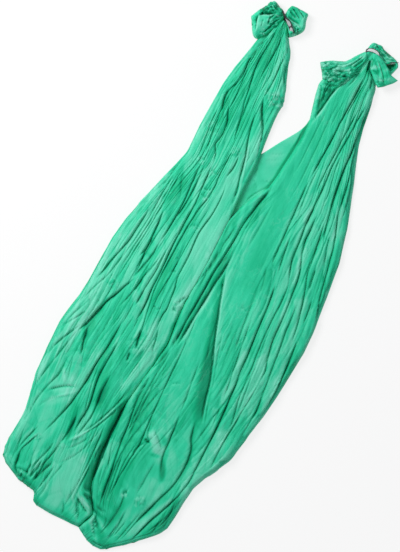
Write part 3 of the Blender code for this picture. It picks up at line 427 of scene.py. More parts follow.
leftHalf = {
    # the outer and inner edges, y and x, and the y to which the outer one is drawn straight
    "endOuter": -984.0,
    "outer": [
        (1062, -150), (1000, -178), (954, -200), (875, -218), (815, -234), (733, -248), (636, -255),
        (540, -261), (431, -260), (388, -272), (300, -302), (175, -340), (77, -367), (-14, -383),
        (-114, -390), (-206, -395), (-272, -403), (-338, -418), (-400, -429), (-520, -430),
        (-640, -424), (-735, -407), (-780, -400), (-844, -404), (-910, -412), (-950, -411),
        (-984, -403),
    ],
    "inner": [
        (1062, -118), (1040, -106), (1000, -86), (967, -64), (895, -37), (816, -9), (768, 1),
        (701, 1), (649, 4), (585, 8),
    ] + parting,
    "hem": [
        (-403, -984), (-382, -1007), (-343, -1028), (-308, -1046), (-262, -1054), (-229, -1062),
        (-221, -1080), (-217, -1096), (-198, -1109), (-128, -1116), (-60, -1116), (-6, -1116),
    ],
    # each fold: depth, width, how far it lies over (minus: to its left), and its points x, y;
    # a minus depth is a raised cord
    "folds": [
        # the leg
        (11, 5, 0.4, -158, 1056, -172, 1000, -185, 950, -193, 900, -195, 850, -191, 800, -196, 765,
         -207, 740, -215, 715, -220, 695, -217, 670, -208, 640, -200, 618),
        (7, 9, 0.6, -180, 985, -190, 930, -193, 880, -194, 830),
        (9, 9, 0.6, -216, 735, -220, 700, -214, 660, -203, 625),
        (6, 4, 0.3, -163, 1060, -172, 1000, -181, 940, -184, 880, -184, 830, -181, 780, -180, 720,
         -178, 660, -172, 635),
        (12, 6, 0.5, -196, 690, -188, 660, -180, 632, -172, 612, -166, 585, -163, 555, -166, 525, -171, 505,
         -165, 488, -155, 470, -148, 448, -144, 412),
        (12, 5, 0.4, -146, 1050, -148, 1000, -151, 950, -156, 900, -157, 860, -154, 820, -149, 780,
         -144, 740, -139, 700),
        (6, 5, 0.3, -146, 760, -140, 700, -132, 670, -124, 620, -115, 570, -105, 535),
        (10, 5, 0.3, -117, 1045, -115, 1000, -114, 950, -117, 900, -119, 850, -124, 805),
        (6, 5, 0.3, -134, 780, -130, 740, -127, 690, -123, 640, -119, 600, -112, 560, -100, 520),
        (10, 4, 0.2, -78, 985, -71, 960, -71, 920, -73, 880, -72, 830, -73, 790, -77, 755, -78, 735),
        (15, 9, 0.7, -76, 752, -70, 722, -62, 700, -50, 676, -36, 650, -24, 625),
        (9, 4, 0.3, -52, 700, -38, 672, -26, 640, -14, 600, -6, 560, 2, 520),
        (12, 5, 0.4, -80, 702, -78, 660, -74, 630, -68, 600, -61, 570, -53, 545, -42, 510, -33, 465,
         -26, 425, -18, 390, -11, 345, -5, 290),
        (-4, 4, 0, -60, 590, -50, 560, -34, 510, -24, 465, -14, 420, -4, 370, 2, 320),
        (9, 5, 0.4, -52, 935, -44, 890, -36, 860, -26, 835, -20, 812),
        (5, 4, 0.2, -66, 960, -56, 910, -48, 860, -42, 820, -34, 780),
        (4, 5, 0.2, -96, 950, -92, 880, -94, 820, -100, 760, -98, 700, -94, 640),
        (5, 5, 0.3, -236, 800, -238, 740, -240, 680, -238, 620, -240, 560, -238, 500),
        (6, 5, 0.3, -222, 650, -223, 600, -222, 560, -217, 510, -213, 470, -210, 430),
        (8, 5, 0.3, -206, 640, -205, 600, -203, 560, -198, 510, -193, 470, -188, 440),
        # the upper pouch
        (8, 4, 0.3, -100, 535, -96, 510, -98, 480, -101, 440, -103, 390, -101, 350, -104, 300, -112, 268,
         -118, 240, -124, 200, -131, 150, -135, 90, -139, 20, -141, -50, -140, -110, -134, -170, -126, -230,
         -118, -285, -112, -330),
        (11, 4, 0.3, -64, 505, -63, 470, -66, 440, -71, 418, -76, 396),
        (9, 4, 0.3, -66, 385, -61, 350, -59, 300, -61, 260, -66, 220, -73, 180, -77, 150, -76, 100, -74, 50,
         -76, 0, -78, -40, -74, -68, -69, -90, -66, -140, -64, -175, -69, -205, -68, -245, -62, -285),
        (12, 6, 0.5, -180, 428, -187, 402, -191, 372, -189, 330, -188, 290, -186, 250, -188, 210, -192, 160,
         -196, 120, -200, 80, -204, 40),
        (9, 5, 0.4, -236, 80, -237, 40, -240, 0, -238, -40, -236, -80, -240, -120),
        (15, 7, 0.7, -226, -110, -240, -140, -254, -165, -270, -205, -288, -240, -300, -268, -312, -300,
         -325, -345, -338, -385, -346, -405),
        (9, 14, 0.9, -292, -255, -306, -290, -322, -335, -336, -380, -347, -410),
        (6, 5, 0.4, -340, -385, -350, -420, -358, -450, -368, -490, -378, -530, -386, -565, -394, -600,
         -402, -635, -408, -672, -405, -712),
        (13, 8, 0.7, -318, -372, -313, -410, -308, -440, -300, -470, -290, -500),
        (9, 8, 0.6, -205, 60, -210, 0, -222, -55, -232, -95, -243, -135),
        (10, 5, 0.3, -178, 425, -173, 380, -172, 330, -173, 285, -174, 250, -179, 215, -185, 180,
         -190, 150),
        (7, 6, 0.4, -174, 265, -178, 225, -184, 190, -188, 168),
        (12, 5, 0.4, -147, 430, -146, 380, -145, 330, -142, 285, -140, 250, -143, 215, -147, 175, -150, 130,
         -152, 90, -153, 40, -151, -20, -150, -80, -151, -130, -148, -180, -149, -230, -155, -290),
        (7, 8, 0.6, -142, 245, -146, 190, -149, 140, -151, 90),
        (9, 5, 0.3, -262, 412, -266, 388, -274, 365, -282, 335, -286, 300, -291, 260, -298, 222),
        (7, 4, 0.3, -242, 365, -247, 330, -250, 290, -253, 250, -257, 200, -261, 150, -265, 105, -270, 50,
         -277, -10, -284, -70, -292, -125, -300, -165),
        (5, 4, 0.2, -252, 350, -258, 300, -262, 250, -266, 200, -270, 150, -275, 90, -282, 30, -290, -30,
         -298, -85, -305, -130),
        (6, 13, 0.7, -241, 350, -232, 312, -221, 282, -210, 255, -202, 232),
        (13, 5, 0.4, -246, 195, -243, 145, -242, 100, -241, 50, -242, 10, -249, -20, -256, -48),
        (8, 10, 0.6, -241, 60, -243, 10, -250, -30),
        (14, 6, 0.5, -302, 170, -301, 135, -306, 95, -312, 50, -317, 10, -327, -25, -336, -58, -346, -92,
         -354, -125, -362, -160, -371, -200),
        (6, 4, 0.3, -269, 335, -272, 280, -277, 230, -281, 160, -286, 100, -292, 50, -299, 0, -309, -45,
         -319, -90, -330, -140, -342, -175, -356, -207, -370, -245, -384, -285, -398, -330),
        (8, 5, 0.3, -178, 35, -178, 0, -186, -40, -196, -80, -203, -115, -209, -145, -215, -175, -223, -205,
         -233, -235, -242, -270),
        (10, 9, 0.6, -200, -105, -207, -135, -213, -170),
        (8, 4, 0.3, -168, 60, -167, 0, -168, -60, -172, -105, -177, -150, -180, -190, -183, -240),
        (9, 6, 0.5, -175, -140, -179, -175, -181, -215),
        (5, 4, 0.2, -190, -190, -192, -235, -195, -280, -199, -320),
        (5, 4, 0.2, -165, -250, -172, -290, -178, -330, -182, -370),
        (4, 4, 0.2, -345, 40, -352, -20, -360, -80, -368, -140, -376, -200),
        (4, 6, 0.2, -318, 220, -330, 150, -341, 90, -350, 30),
        (4, 8, 0.3, -110, 120, -108, 60, -106, 0, -108, -60, -104, -120, -96, -180),
        (7, 4, 0.5, -150, 414, -140, 402, -120, 394, -98, 396),
        (6, 4, 0.4, -146, 326, -124, 322, -100, 334),
        (6, 4, 0.4, -144, 300, -122, 292, -98, 296),
        (5, 4, 0.3, -214, 434, -196, 424, -174, 428),
        (4, 4, 0.3, -222, 560, -210, 556, -198, 560),
        (4, 4, 0.3, -120, 172, -96, 166, -68, 172),
        (4, 5, 0.2, -128, 158, -112, 168, -95, 175, -76, 172),
        # the seat
        (6, 4, 0.3, -352, -262, -368, -300, -388, -348, -406, -395, -424, -448),
        (5, 4, 0.3, -334, -298, -352, -325, -374, -362, -394, -390, -410, -412, -428, -450),
        (8, 5, 0.4, -338, -370, -358, -402, -378, -438, -396, -476, -412, -514, -430, -566),
        (14, 9, 0.8, -122, -290, -118, -325, -112, -352, -106, -378),
        (12, 7, 0.7, -124, -392, -121, -415, -119, -436),
        (12, 6, 0.6, -14, -95, -26, -116, -31, -130, -24, -142),
        (9, 5, 0.4, -46, -158, -36, -168, -24, -164),
        (8, 4, 0.3, -60, -255, -52, -300, -44, -345, -24, -372),
        (5, 4, 0.3, -100, 22, -112, 26, -122, 20),
        (5, 4, 0.3, -88, -30, -100, -24, -118, -38),
        (6, 4, 0.3, -84, -176, -96, -190, -112, -186, -124, -178),
        (7, 6, 0.4, -325, -488, -336, -520, -338, -560, -340, -590, -350, -622, -361, -655, -371, -692,
         -378, -730, -384, -780, -389, -840),
        (4, 4, 0.2, -302, -400, -293, -450, -284, -490, -273, -528, -260, -562),
        (4, 4, 0.2, -318, -500, -312, -540, -303, -580, -292, -612),
        (9, 5, 0.4, -240, -602, -262, -612, -290, -622, -318, -640, -345, -664, -358, -682),
        (-6, 8, 0, -336, -556, -318, -590, -298, -622),
        (-4, 5, 0, -244, -628, -286, -660, -330, -704, -350, -730),
        (4, 6, 0.3, -262, -650, -290, -668, -320, -690, -345, -720, -365, -760),
        (13, 6, 0.5, -200, -275, -203, -320, -206, -360, -210, -400, -216, -440, -222, -480, -228, -520,
         -231, -560, -235, -600, -240, -632, -246, -665, -255, -705, -267, -745, -279, -785, -289, -815,
         -298, -842),
        (8, 8, 0.6, -224, -500, -230, -550, -234, -600),
        (14, 7, 0.5, -178, -350, -182, -390, -186, -430, -190, -480, -194, -520, -192, -560, -186, -600,
         -180, -640, -178, -680, -183, -720, -185, -760, -182, -792),
        (7, 4, 0.3, -212, -470, -210, -520, -205, -570, -196, -620, -186, -665, -176, -702, -171, -740,
         -170, -782),
        (11, 6, 0.4, -150, -480, -153, -520, -155, -560, -155, -600, -152, -640, -151, -680, -156, -720,
         -164, -760, -176, -802),
        (9, 10, 0.6, -158, -560, -157, -605, -150, -655),
        (12, 7, 0.5, -203, -695, -204, -740, -207, -790, -214, -830, -221, -865),
        (8, 5, 0.4, -214, -830, -222, -870, -232, -910, -243, -945, -255, -978, -265, -1012),
        (-7, 6, 0, -36, -512, -55, -560, -75, -612, -95, -660, -115, -703, -137, -745, -162, -783,
         -188, -815, -208, -850),
        (9, 5, 0.4, -48, -485, -60, -530, -73, -575, -84, -615, -103, -662, -122, -704, -146, -746,
         -174, -786),
        (6, 4, 0.2, -54, -575, -78, -640, -103, -695, -125, -732, -150, -770, -180, -806),
        (5, 4, 0.3, -92, -680, -98, -730, -110, -780, -128, -830, -150, -870, -180, -905, -208, -922),
        (4, 4, 0.3, -112, -740, -138, -795, -172, -838, -202, -856),
        (9, 5, 0.4, -208, -915, -224, -950, -238, -985, -248, -1018),
        (7, 5, 0.4, -236, -830, -246, -880, -262, -930, -275, -970, -287, -1008),
        (6, 4, 0.3, -258, -905, -266, -945, -272, -985, -280, -1020),
        (8, 5, 0.3, -198, -925, -207, -975, -214, -1020, -218, -1062),
        (6, 4, 0.3, -160, -880, -176, -930, -190, -980, -196, -1030, -198, -1075),
        (8, 4, 0.2, -90, -690, -85, -760, -82, -830, -80, -900, -83, -960, -90, -1020, -93, -1080),
        (7, 4, 0.2, -66, -735, -67, -800, -69, -870, -70, -940, -71, -1000, -70, -1060),
        (-4, 5, 0, -76, -720, -75, -800, -75, -900, -79, -980, -81, -1060),
        (11, 5, 0.4, -350, -940, -346, -965, -345, -1006),
        (10, 5, 0.5, -303, -836, -322, -868, -335, -897, -347, -928, -350, -985),
        (8, 4, 0.3, -320, -808, -338, -852, -352, -897, -363, -948),
        (-5, 5, 0, -312, -848, -330, -880, -342, -915, -352, -960),
        (5, 5, 0.3, -374, -840, -368, -890, -363, -940, -366, -985),
        (7, 6, 0.3, -408, -905, -404, -950, -394, -985),
        (11, 5, 0.4, -347, -950, -344, -990, -332, -1020, -314, -1040),
        (9, 5, 0.4, -338, -1006, -312, -1003, -285, -1006, -262, -1020),
        (8, 4, 0.3, -284, -960, -288, -992, -284, -1024),
        (8, 4, 0.3, -264, -958, -268, -990, -266, -1024),
        (7, 4, 0.3, -248, -960, -250, -990, -244, -1020),
        (8, 4, 0.3, -304, -1012, -302, -1030, -296, -1044),
        (-4, 4, 0, -274, -930, -278, -980, -276, -1016),
        (-4, 4, 0, -256, -940, -258, -985, -256, -1016),
        (18, 8, 0.8, 12, -1050, -14, -1038, -44, -1020, -72, -1002),
        (-6, 4, 0, -58, -962, -36, -974, -12, -982),
        (10, 5, 0.4, -50, -984, -30, -990, -12, -1004),
        (8, 5, 0.4, -62, -1018, -48, -1046, -34, -1080),
        (8, 5, 0.4, -60, -1010, -46, -1035, -32, -1065, -20, -1098),
        (6, 5, 0.3, -110, -1040, -95, -1070, -88, -1105),
        (-6, 3, 0, -258, -915, -266, -970, -282, -1026),
        (-6, 3, 0, -244, -925, -250, -980, -262, -1030),
        (9, 4, 0.4, -250, -920, -258, -975, -272, -1028),
        (9, 4, 0.4, -238, -930, -243, -985, -252, -1032),
    ],
    # smooth panels, and then painted light and shade: x, y, reach across and along, turn in degrees, amount
    # (plus for painted shade, minus for painted light)
    "calm": [
        (-48, 380, 46, 170, 0, 0.8), (-48, 60, 54, 210, 0, 0.85), (-40, -230, 30, 80, 0, 0.6),
        (-60, 600, 30, 60, 10, 0.5), (-290, -560, 60, 110, 0, 0.5), (-300, -880, 60, 120, 0, 0.4),
        (-140, -960, 56, 130, 0, 0.9), (-300, -760, 70, 130, 12, 0.75), (-140, -570, 40, 90, 0, 0.5),
        (-345, -700, 46, 110, 0, 0.5), (-120, -1090, 100, 50, 0, 0.9), (-310, -1020, 70, 40, -10, 0.7),
    ],
    "lightAndShade": [
        (-150, 880, 42, 150, 0, 0.7), (-150, 660, 60, 170, 0, 0.75), (-228, 660, 26, 140, 0, 0.45),
        (-30, 690, 34, 110, 0, 0.15), (-60, 860, 24, 130, 0, 0.25), (-205, 880, 24, 160, 4, 0.5),
        (-124, 960, 40, 90, 0, 0.3), (-40, 756, 16, 20, 0, -0.7), (-215, 500, 60, 80, 0, 0.2),
        (-52, 380, 46, 190, 0, -0.5), (-50, 60, 56, 190, 0, -0.55), (-40, -210, 36, 90, 0, -0.3),
        (-218, 225, 26, 150, 0, 0.55), (-125, 130, 26, 200, 0, 0.5), (-128, -100, 28, 110, 0, 0.4),
        (-168, 120, 18, 200, 0, -0.15), (-310, 150, 36, 200, 10, -0.3), (-345, -80, 50, 200, 12, -0.3),
        (-265, -20, 26, 150, 8, -0.3), (-225, -20, 26, 90, 8, 0.4), (-200, -160, 34, 120, 6, 0.35),
        (-385, -300, 40, 130, 12, -0.35), (-250, -330, 34, 120, 14, 0.35), (-300, -430, 36, 80, 10, 0.3),
        (-400, -560, 40, 120, 0, -0.25), (-300, -560, 50, 80, -20, -0.35), (-260, -690, 46, 70, 0, 0.2),
        (-335, -790, 50, 100, 0, 0.15), (-170, -560, 36, 160, 0, 0.45), (-120, -480, 40, 120, 0, 0.25),
        (-175, -390, 40, 80, 0, 0.25), (-205, -720, 24, 120, 10, 0.55), (-75, -470, 30, 130, 10, 0.15),
        (-85, -640, 34, 130, -12, 0.45), (-150, -860, 50, 90, -25, 0.2), (-140, -1000, 46, 110, 0, -0.5),
        (-230, -990, 30, 80, 0, 0.45), (-300, -940, 60, 60, 0, -0.1), (-380, -900, 30, 90, 0, 0.35),
        (-52, -850, 22, 150, 0, 0.7), (-35, -1020, 22, 80, 0, 0.35), (-300, -1030, 60, 26, 0, 0.3),
        (-113, -340, 9, 40, -8, 0.9), (-10, -230, 9, 60, 3, 0.9), (-10, -345, 12, 56, 2, 1.1),
        (-238, 30, 12, 60, 2, 0.8), (-322, -385, 14, 42, 18, 1.1), (-205, -470, 14, 130, 6, 0.8),
        (-298, -590, 40, 26, -35, -0.4), (-330, -640, 36, 40, -30, -0.4), (-62, -720, 14, 150, 2, 1.1),
        (-56, -590, 12, 90, 4, 1.0), (-54, -905, 18, 46, 0, 1.4), (-330, -1010, 16, 14, -20, 1.0),
        (-300, -1024, 26, 10, -10, 0.8), (-344, -985, 9, 26, 0, 1.0), (-232, -940, 9, 46, 6, 1.0),
        (-246, -1000, 8, 30, 8, 1.0), (-205, -770, 11, 50, 8, 1.7), (-150, -600, 16, 60, 4, 1.6),
        (-412, -620, 14, 70, 0, -0.9), (-280, -640, 40, 12, 28, -0.8), (-300, -690, 60, 14, 40, -0.5),
        (-260, -870, 14, 90, -12, 0.8), (-100, -800, 12, 60, -20, 0.5), (-130, -880, 30, 60, -14, -0.6),
        (-180, -1040, 12, 60, 0, 0.6), (-290, -1034, 54, 12, -10, 1.0), (-52, -890, 12, 60, 0, 1.4),
        (-46, -956, 12, 16, 0, 2.4), (-26, -972, 22, 6, -22, -2.0), (-26, -990, 24, 8, -22, 2.2),
        (-30, -1012, 34, 6, -24, -1.4), (-36, -1040, 30, 8, -30, -0.7), (-60, -1095, 30, 16, -20, 0.8),
        (-200, -1090, 16, 20, 0, 0.8), (-352, -880, 9, 50, -14, -0.8), (-130, -1090, 60, 12, 0, 0.4),
        (-300, -860, 30, 70, 10, -0.3), (-30, -960, 12, 40, 10, 0.9),
    ],
    # crumpled places: x, y, radius, height, grain
    "patches": [
        (-26, 758, 50, 5.5, 12), (-60, 770, 34, 3.0, 10), (-122, 390, 36, 2.6, 13), (-82, 508, 30, 4.0, 10),
        (-28, -150, 36, 3.4, 13), (-300, -178, 34, 3.2, 13), (-300, -500, 70, 2.0, 26),
        (-205, 560, 40, 2.4, 14), (-306, -856, 22, 4.0, 8), (-112, -360, 50, 3.0, 18),
        (-205, -845, 20, 2.0, 9), (-290, -1026, 50, 4.0, 13), (-192, 416, 30, 2.6, 12),
        (-112, 300, 30, 2.2, 12), (-60, -330, 50, 2.6, 20), (-40, -985, 46, 3.0, 18),
    ],
}

rightHalf = {
    "endOuter": -1100.0,
    "outer": [
        (1090, 252), (1040, 276), (1000, 300), (973, 312), (905, 326), (813, 336), (741, 350),
        (666, 374), (594, 399), (540, 415), (497, 429), (419, 452), (284, 482), (177, 492),
        (66, 501), (-24, 508), (-100, 508), (-200, 498), (-300, 487), (-400, 472), (-500, 448),
        (-550, 440), (-600, 429), (-640, 414), (-676, 394), (-731, 362), (-772, 343), (-838, 333),
        (-913, 326), (-965, 318), (-1000, 300), (-1044, 254), (-1100, 192),
    ],
    "inner": [
        (1090, 221), (1040, 196), (1000, 168), (950, 128), (920, 103), (895, 98), (850, 105),
        (800, 116), (760, 125), (735, 130), (700, 129), (650, 125), (600, 120), (540, 112),
        (490, 106), (440, 97), (400, 76), (350, 47), (310, 27), (250, 7),
    ] + parting[3:],
    "hem": [
        (-6, -1116), (8, -1126), (26, -1137), (50, -1150), (76, -1158), (112, -1158), (131, -1147),
        (160, -1124), (192, -1100),
    ],
    "folds": [
        # the leg
        (13, 7, 0.6, 104, 905, 112, 872, 121, 846, 131, 820, 138, 796, 142, 776),
        (14, 6, -0.7, 196, 955, 174, 915, 163, 880, 157, 845, 151, 810, 144, 775, 137, 735),
        (9, 5, 0.4, 140, 905, 134, 882, 136, 858, 141, 830),
        (8, 5, 0.4, 106, 918, 124, 904, 144, 908, 166, 916),
        (6, 4, 0.2, 128, 785, 133, 762, 136, 742),
        (13, 5, 0.5, 252, 1010, 249, 970, 248, 940, 246, 900, 244, 860, 242, 820, 240, 780, 239, 740,
         237, 700, 235, 660, 233, 620, 231, 580, 230, 540),
        (6, 8, 0.6, 250, 985, 248, 930, 245, 880),
        (8, 4, 0.3, 268, 995, 262, 960, 257, 920, 254, 880, 252, 850, 250, 810),
        (5, 4, 0.2, 245, 650, 243, 610, 241, 560, 241, 500, 244, 440, 250, 395, 254, 355),
        (12, 6, 0.4, 281, 1008, 287, 985, 294, 955),
        (9, 4, 0.3, 284, 890, 283, 840, 280, 790, 278, 740, 277, 690, 276, 640, 275, 590, 274, 540,
         276, 490),
        (11, 5, 0.4, 308, 915, 304, 880, 300, 850, 298, 815, 296, 775, 293, 720, 290, 670, 290, 625,
         291, 580, 292, 530, 291, 470, 291, 430, 291, 385, 294, 340, 298, 300, 301, 260, 304, 220, 311, 188,
         319, 162, 327, 138, 332, 110),
        (8, 9, 0.7, 291, 450, 290, 400, 293, 350),
        (15, 8, 0.8, 308, 1015, 316, 975, 321, 930, 325, 885, 328, 840, 331, 790, 332, 740, 333, 700,
         334, 660, 335, 620, 338, 585, 341, 550, 346, 510, 352, 475, 358, 445),
        (8, 16, 0.9, 320, 920, 327, 860, 331, 800, 332, 740, 333, 690),
        (10, 5, 0.4, 345, 775, 348, 740, 353, 700, 359, 660, 367, 618, 374, 578, 380, 545, 384, 505,
         391, 460, 400, 430, 410, 402, 420, 375, 428, 345, 434, 318, 439, 288, 445, 255, 451, 225, 456, 195,
         461, 165, 466, 138, 473, 110, 483, 82, 491, 55, 498, 25, 500, -5),
        (8, 4, 0.3, 360, 700, 368, 655, 380, 618, 391, 582, 400, 548, 407, 505, 412, 462, 416, 420),
        (7, 4, 0.3, 301, 705, 303, 660, 306, 620, 312, 580, 318, 545, 322, 510, 322, 475, 325, 435),
        (3, 8, 0.3, 172, 840, 170, 760, 168, 680, 166, 600, 164, 520),
        (3, 8, 0.3, 205, 880, 198, 800, 197, 700, 198, 600, 198, 500, 190, 430),
        (3, 6, 0.2, 222, 900, 216, 820, 214, 740),
        (5, 6, 0.3, 228, 1060, 222, 1010, 216, 960, 200, 920),
        (14, 5, 0.9, 241, 1086, 242, 1062, 247, 1030, 246, 1016),
        (12, 4, -0.8, 244, 1084, 256, 1050, 267, 1020),
        (10, 5, 0.5, 258, 1016, 276, 1022, 298, 1030),
        # the upper pouch
        (16, 7, 0.5, 103, 462, 101, 435, 97, 405, 91, 380, 84, 350, 78, 318, 73, 290, 68, 250, 63, 200,
         57, 150, 50, 100, 44, 45, 40, 0, 37, -50, 32, -110, 27, -170, 24, -230, 20, -285, 15, -330),
        (8, 12, 0.7, 96, 425, 84, 370, 74, 320),
        (6, 4, 0.2, 92, 352, 89, 310, 86, 270, 84, 232),
        (9, 4, 0.3, 47, 255, 42, 220, 35, 180, 28, 140, 23, 100, 19, 60, 12, 20, 5, -8, 0, -40, -8, -70),
        (6, 4, 0.2, 37, 170, 31, 120, 26, 70, 19, 20, 14, -30, 10, -90),
        (-3, 4, 0, 58, 230, 52, 180, 45, 120, 38, 60, 32, 0),
        (16, 9, -0.3, 80, 150, 81, 110, 79, 75, 75, 40, 71, 5, 67, -30, 63, -70, 57, -115, 51, -165,
         46, -215, 41, -262, 35, -305),
        (9, 16, 0.2, 80, 105, 80, 70, 79, 30, 75, -5),
        (13, 9, -0.9, 84, 80, 95, 32, 104, 0, 113, -33, 121, -64, 130, -95, 141, -130, 151, -162, 161, -192,
         171, -221, 182, -250, 192, -276, 202, -310, 215, -352, 228, -400, 240, -450, 254, -500, 266, -545),
        (13, 13, 0.9, 232, -520, 241, -596, 262, -640, 270, -700, 266, -770, 254, -822, 234, -872,
         216, -922, 198, -970, 186, -1020),
        (9, 5, 0.4, 229, 545, 228, 490, 229, 430, 231, 380, 232, 330, 233, 280, 235, 230, 237, 180,
         239, 140),
        (9, 5, 0.4, 259, 315, 260, 270, 264, 230, 270, 190, 276, 158, 280, 135),
        (8, 4, 0.3, 330, 160, 333, 120, 336, 80, 337, 35, 335, -20, 336, -80, 337, -130, 338, -180,
         341, -230, 344, -280, 349, -345, 354, -390, 360, -430, 366, -470, 369, -510),
        (12, 6, 0.5, 317, 430, 316, 390, 316, 350, 316, 312, 322, 280, 331, 246, 342, 217, 350, 190,
         356, 160, 360, 125, 363, 90, 367, 50, 370, 10, 371, -30, 372, -80, 375, -125, 382, -168, 390, -202,
         397, -232, 397, -262, 394, -292),
        (9, 5, 0.4, 337, 565, 344, 525, 352, 482, 358, 448, 363, 418, 369, 390, 377, 358, 388, 330,
         398, 305),
        (10, 5, 0.4, 354, 425, 360, 372, 365, 332, 370, 292, 375, 260, 378, 230, 381, 200, 389, 168,
         398, 142, 405, 118, 411, 95, 418, 68, 424, 40, 430, 12, 436, -20, 442, -58, 448, -100),
        (6, 4, 0.3, 399, 390, 402, 350, 410, 312, 420, 280, 432, 250, 442, 228),
        (9, 5, 0.4, 404, 238, 408, 200, 413, 160, 419, 125),
        (8, 5, 0.4, 398, 90, 400, 40, 402, 0, 404, -50, 408, -85, 412, -125, 416, -170, 420, -220,
         424, -262, 427, -305, 430, -350, 432, -400, 430, -440, 427, -480, 421, -525),
        (7, 8, 0.6, 429, -330, 432, -380, 431, -430),
        (8, 4, 0.3, 445, 110, 448, 70, 451, 35, 454, -8),
        (15, 6, 0.5, 456, -50, 462, -85, 466, -130, 468, -175, 470, -220, 472, -270, 473, -312, 470, -360,
         465, -400, 460, -425),
        (13, 5, 0.5, 287, 118, 289, 80, 292, 45, 295, 5, 297, -40, 299, -80, 302, -125, 304, -170,
         306, -210, 306, -250, 309, -290, 313, -325, 316, -370, 318, -430, 319, -500, 318, -570, 316, -640,
         314, -700, 313, -750, 309, -785, 300, -812, 287, -845),
        (6, 9, 0.6, 317, -400, 320, -470, 319, -540, 317, -620),
        (5, 4, 0.2, 344, -20, 344, -80, 347, -130, 351, -190, 354, -240, 358, -285, 363, -340, 369, -400,
         373, -455),
        (10, 5, 0.4, 396, -285, 391, -340, 386, -390, 381, -440, 377, -490, 371, -535, 368, -580, 367, -640,
         366, -700),
        (6, 6, 0.3, 235, 20, 238, -40, 242, -90, 246, -140, 252, -190, 258, -240),
        (7, 5, 0.3, 260, -55, 264, -110, 269, -160, 273, -205, 278, -250, 283, -300, 288, -340, 293, -385,
         296, -425),
        (4, 10, 0.3, 140, 400, 134, 320, 128, 240, 124, 160),
        (4, 12, 0.4, 215, 160, 230, 120, 240, 80, 246, 20),
        (4, 8, 0.3, 130, -80, 136, -140, 146, -200, 160, -260, 176, -320),
        (5, 5, 0.3, 172, -150, 186, -200, 198, -250, 212, -300, 228, -360, 246, -410),
        (4, 5, 0.2, 200, -40, 218, -44, 238, -52),
        (4, 5, 0.2, 480, 40, 486, -20, 488, -90, 486, -160, 482, -230),
        (4, 5, 0.2, 424, 320, 436, 270, 448, 200, 452, 150),
        # the seat
        (7, 5, 0.3, 145, -290, 148, -350, 152, -400, 158, -450, 162, -500, 165, -550),
        (12, 6, 0.5, 164, -520, 166, -570, 168, -610, 171, -650, 174, -700, 182, -738, 196, -772,
         208, -797),
        (8, 4, 0.3, 62, -120, 61, -180, 62, -250, 64, -320, 63, -400, 65, -460, 67, -520, 68, -580,
         70, -640, 72, -700, 69, -740, 63, -780, 60, -820, 54, -870, 50, -930, 47, -975),
        (8, 4, 0.3, 76, -590, 79, -635, 85, -662, 97, -680, 114, -690),
        (5, 8, 0.4, 95, -625, 118, -648, 142, -672, 166, -700),
        (4, 4, 0.2, 78, -440, 96, -428, 120, -420),
        (5, 5, 0.3, 240, -425, 252, -458, 262, -490, 273, -525),
        (5, 4, 0.3, 297, -435, 300, -475, 302, -515),
        (10, 5, 0.3, 12, -300, 9, -340, 1, -372, -9, -402, -13, -430),
        (7, 4, 0.3, 24, -290, 20, -350, 13, -420, 8, -480, 5, -540, 5, -600, 8, -660, 10, -710),
        (5, 4, 0.2, 36, -320, 28, -400, 22, -470, 18, -540, 18, -620, 20, -680, 26, -745),
        (11, 5, 0.4, -8, -425, -12, -490, -14, -555, -9, -610, -3, -660, 0, -715, 6, -775, 12, -825,
         17, -875, 21, -925, 28, -968, 36, -1010),
        (8, 9, 0.6, 10, -810, 17, -870, 22, -930, 32, -990),
        (7, 4, 0.3, 26, -750, 32, -810, 38, -875, 44, -930, 51, -982),
        (14, 6, 0.6, 311, -789, 298, -828, 280, -873, 256, -930, 231, -992, 209, -1058, 198, -1086),
        (7, 4, 0.3, 322, -800, 316, -850, 300, -905, 280, -950, 262, -990, 240, -1030),
        (8, 5, 0.4, 298, -850, 301, -900, 296, -930, 286, -962, 276, -990),
        (7, 5, 0.3, 274, -950, 271, -985, 268, -1010),
        (6, 4, 0.3, 290, -850, 278, -885, 262, -925, 246, -962),
        (7, 14, 0.8, 96, -880, 104, -930, 106, -985, 96, -1040, 86, -1090, 84, -1130),
        (7, 14, 0.8, 140, -950, 134, -1000, 133, -1050, 124, -1100, 112, -1136),
        (6, 12, 0.6, 160, -735, 154, -790, 150, -850, 146, -900),
        (9, 5, 0.4, 86, -920, 100, -912, 114, -898),
        (6, 4, 0.3, 232, -870, 214, -930, 196, -985, 180, -1045, 165, -1100),
        (6, 4, 0.3, 196, -935, 184, -985, 171, -1035, 158, -1085, 148, -1120),
        (6, 4, 0.3, 134, -1030, 124, -1075, 118, -1115),
        (5, 4, 0.2, 158, -1000, 146, -1050, 136, -1095),
        (8, 8, 0.5, 28, -1050, 44, -1085, 60, -1112, 80, -1134),
        (7, 6, 0.3, 60, -1135, 90, -1146, 122, -1142),
        (13, 6, 0.6, -52, -960, -40, -980, -22, -996, 2, -1008, 22, -1016),
        (14, 7, 0.6, -30, -1002, -10, -1014, 12, -1026, 34, -1036),
        (12, 10, 0.6, 34, -1010, 30, -1034, 38, -1056, 54, -1078, 74, -1098),
        (9, 6, 0.3, 20, -1005, 46, -1012, 72, -1010),
        (15, 12, 0.3, -50, -570, -55, -640, -58, -720, -55, -800, -46, -870, -32, -935),
        (-10, 17, 0, 84, -636, 108, -662, 136, -690, 162, -716),
        (11, 5, 0.5, 80, -676, 92, -686, 108, -688),
        (9, 5, 0.4, 70, -770, 66, -740, 76, -712, 96, -694),
        (5, 10, 0.4, 70, -1030, 84, -1050, 80, -1080),
        (6, 4, 0.2, -30, -700, -26, -760, -12, -815, 4, -870),
        (5, 4, 0.2, -40, -780, -28, -840, -14, -900, 2, -950),
        (5, 6, 0.3, 415, -612, 398, -630, 380, -640),
    ],
    "calm": [
        (185, 760, 52, 230, 0, 0.85), (172, 400, 62, 230, 0, 0.9), (165, 120, 70, 220, 0, 0.85),
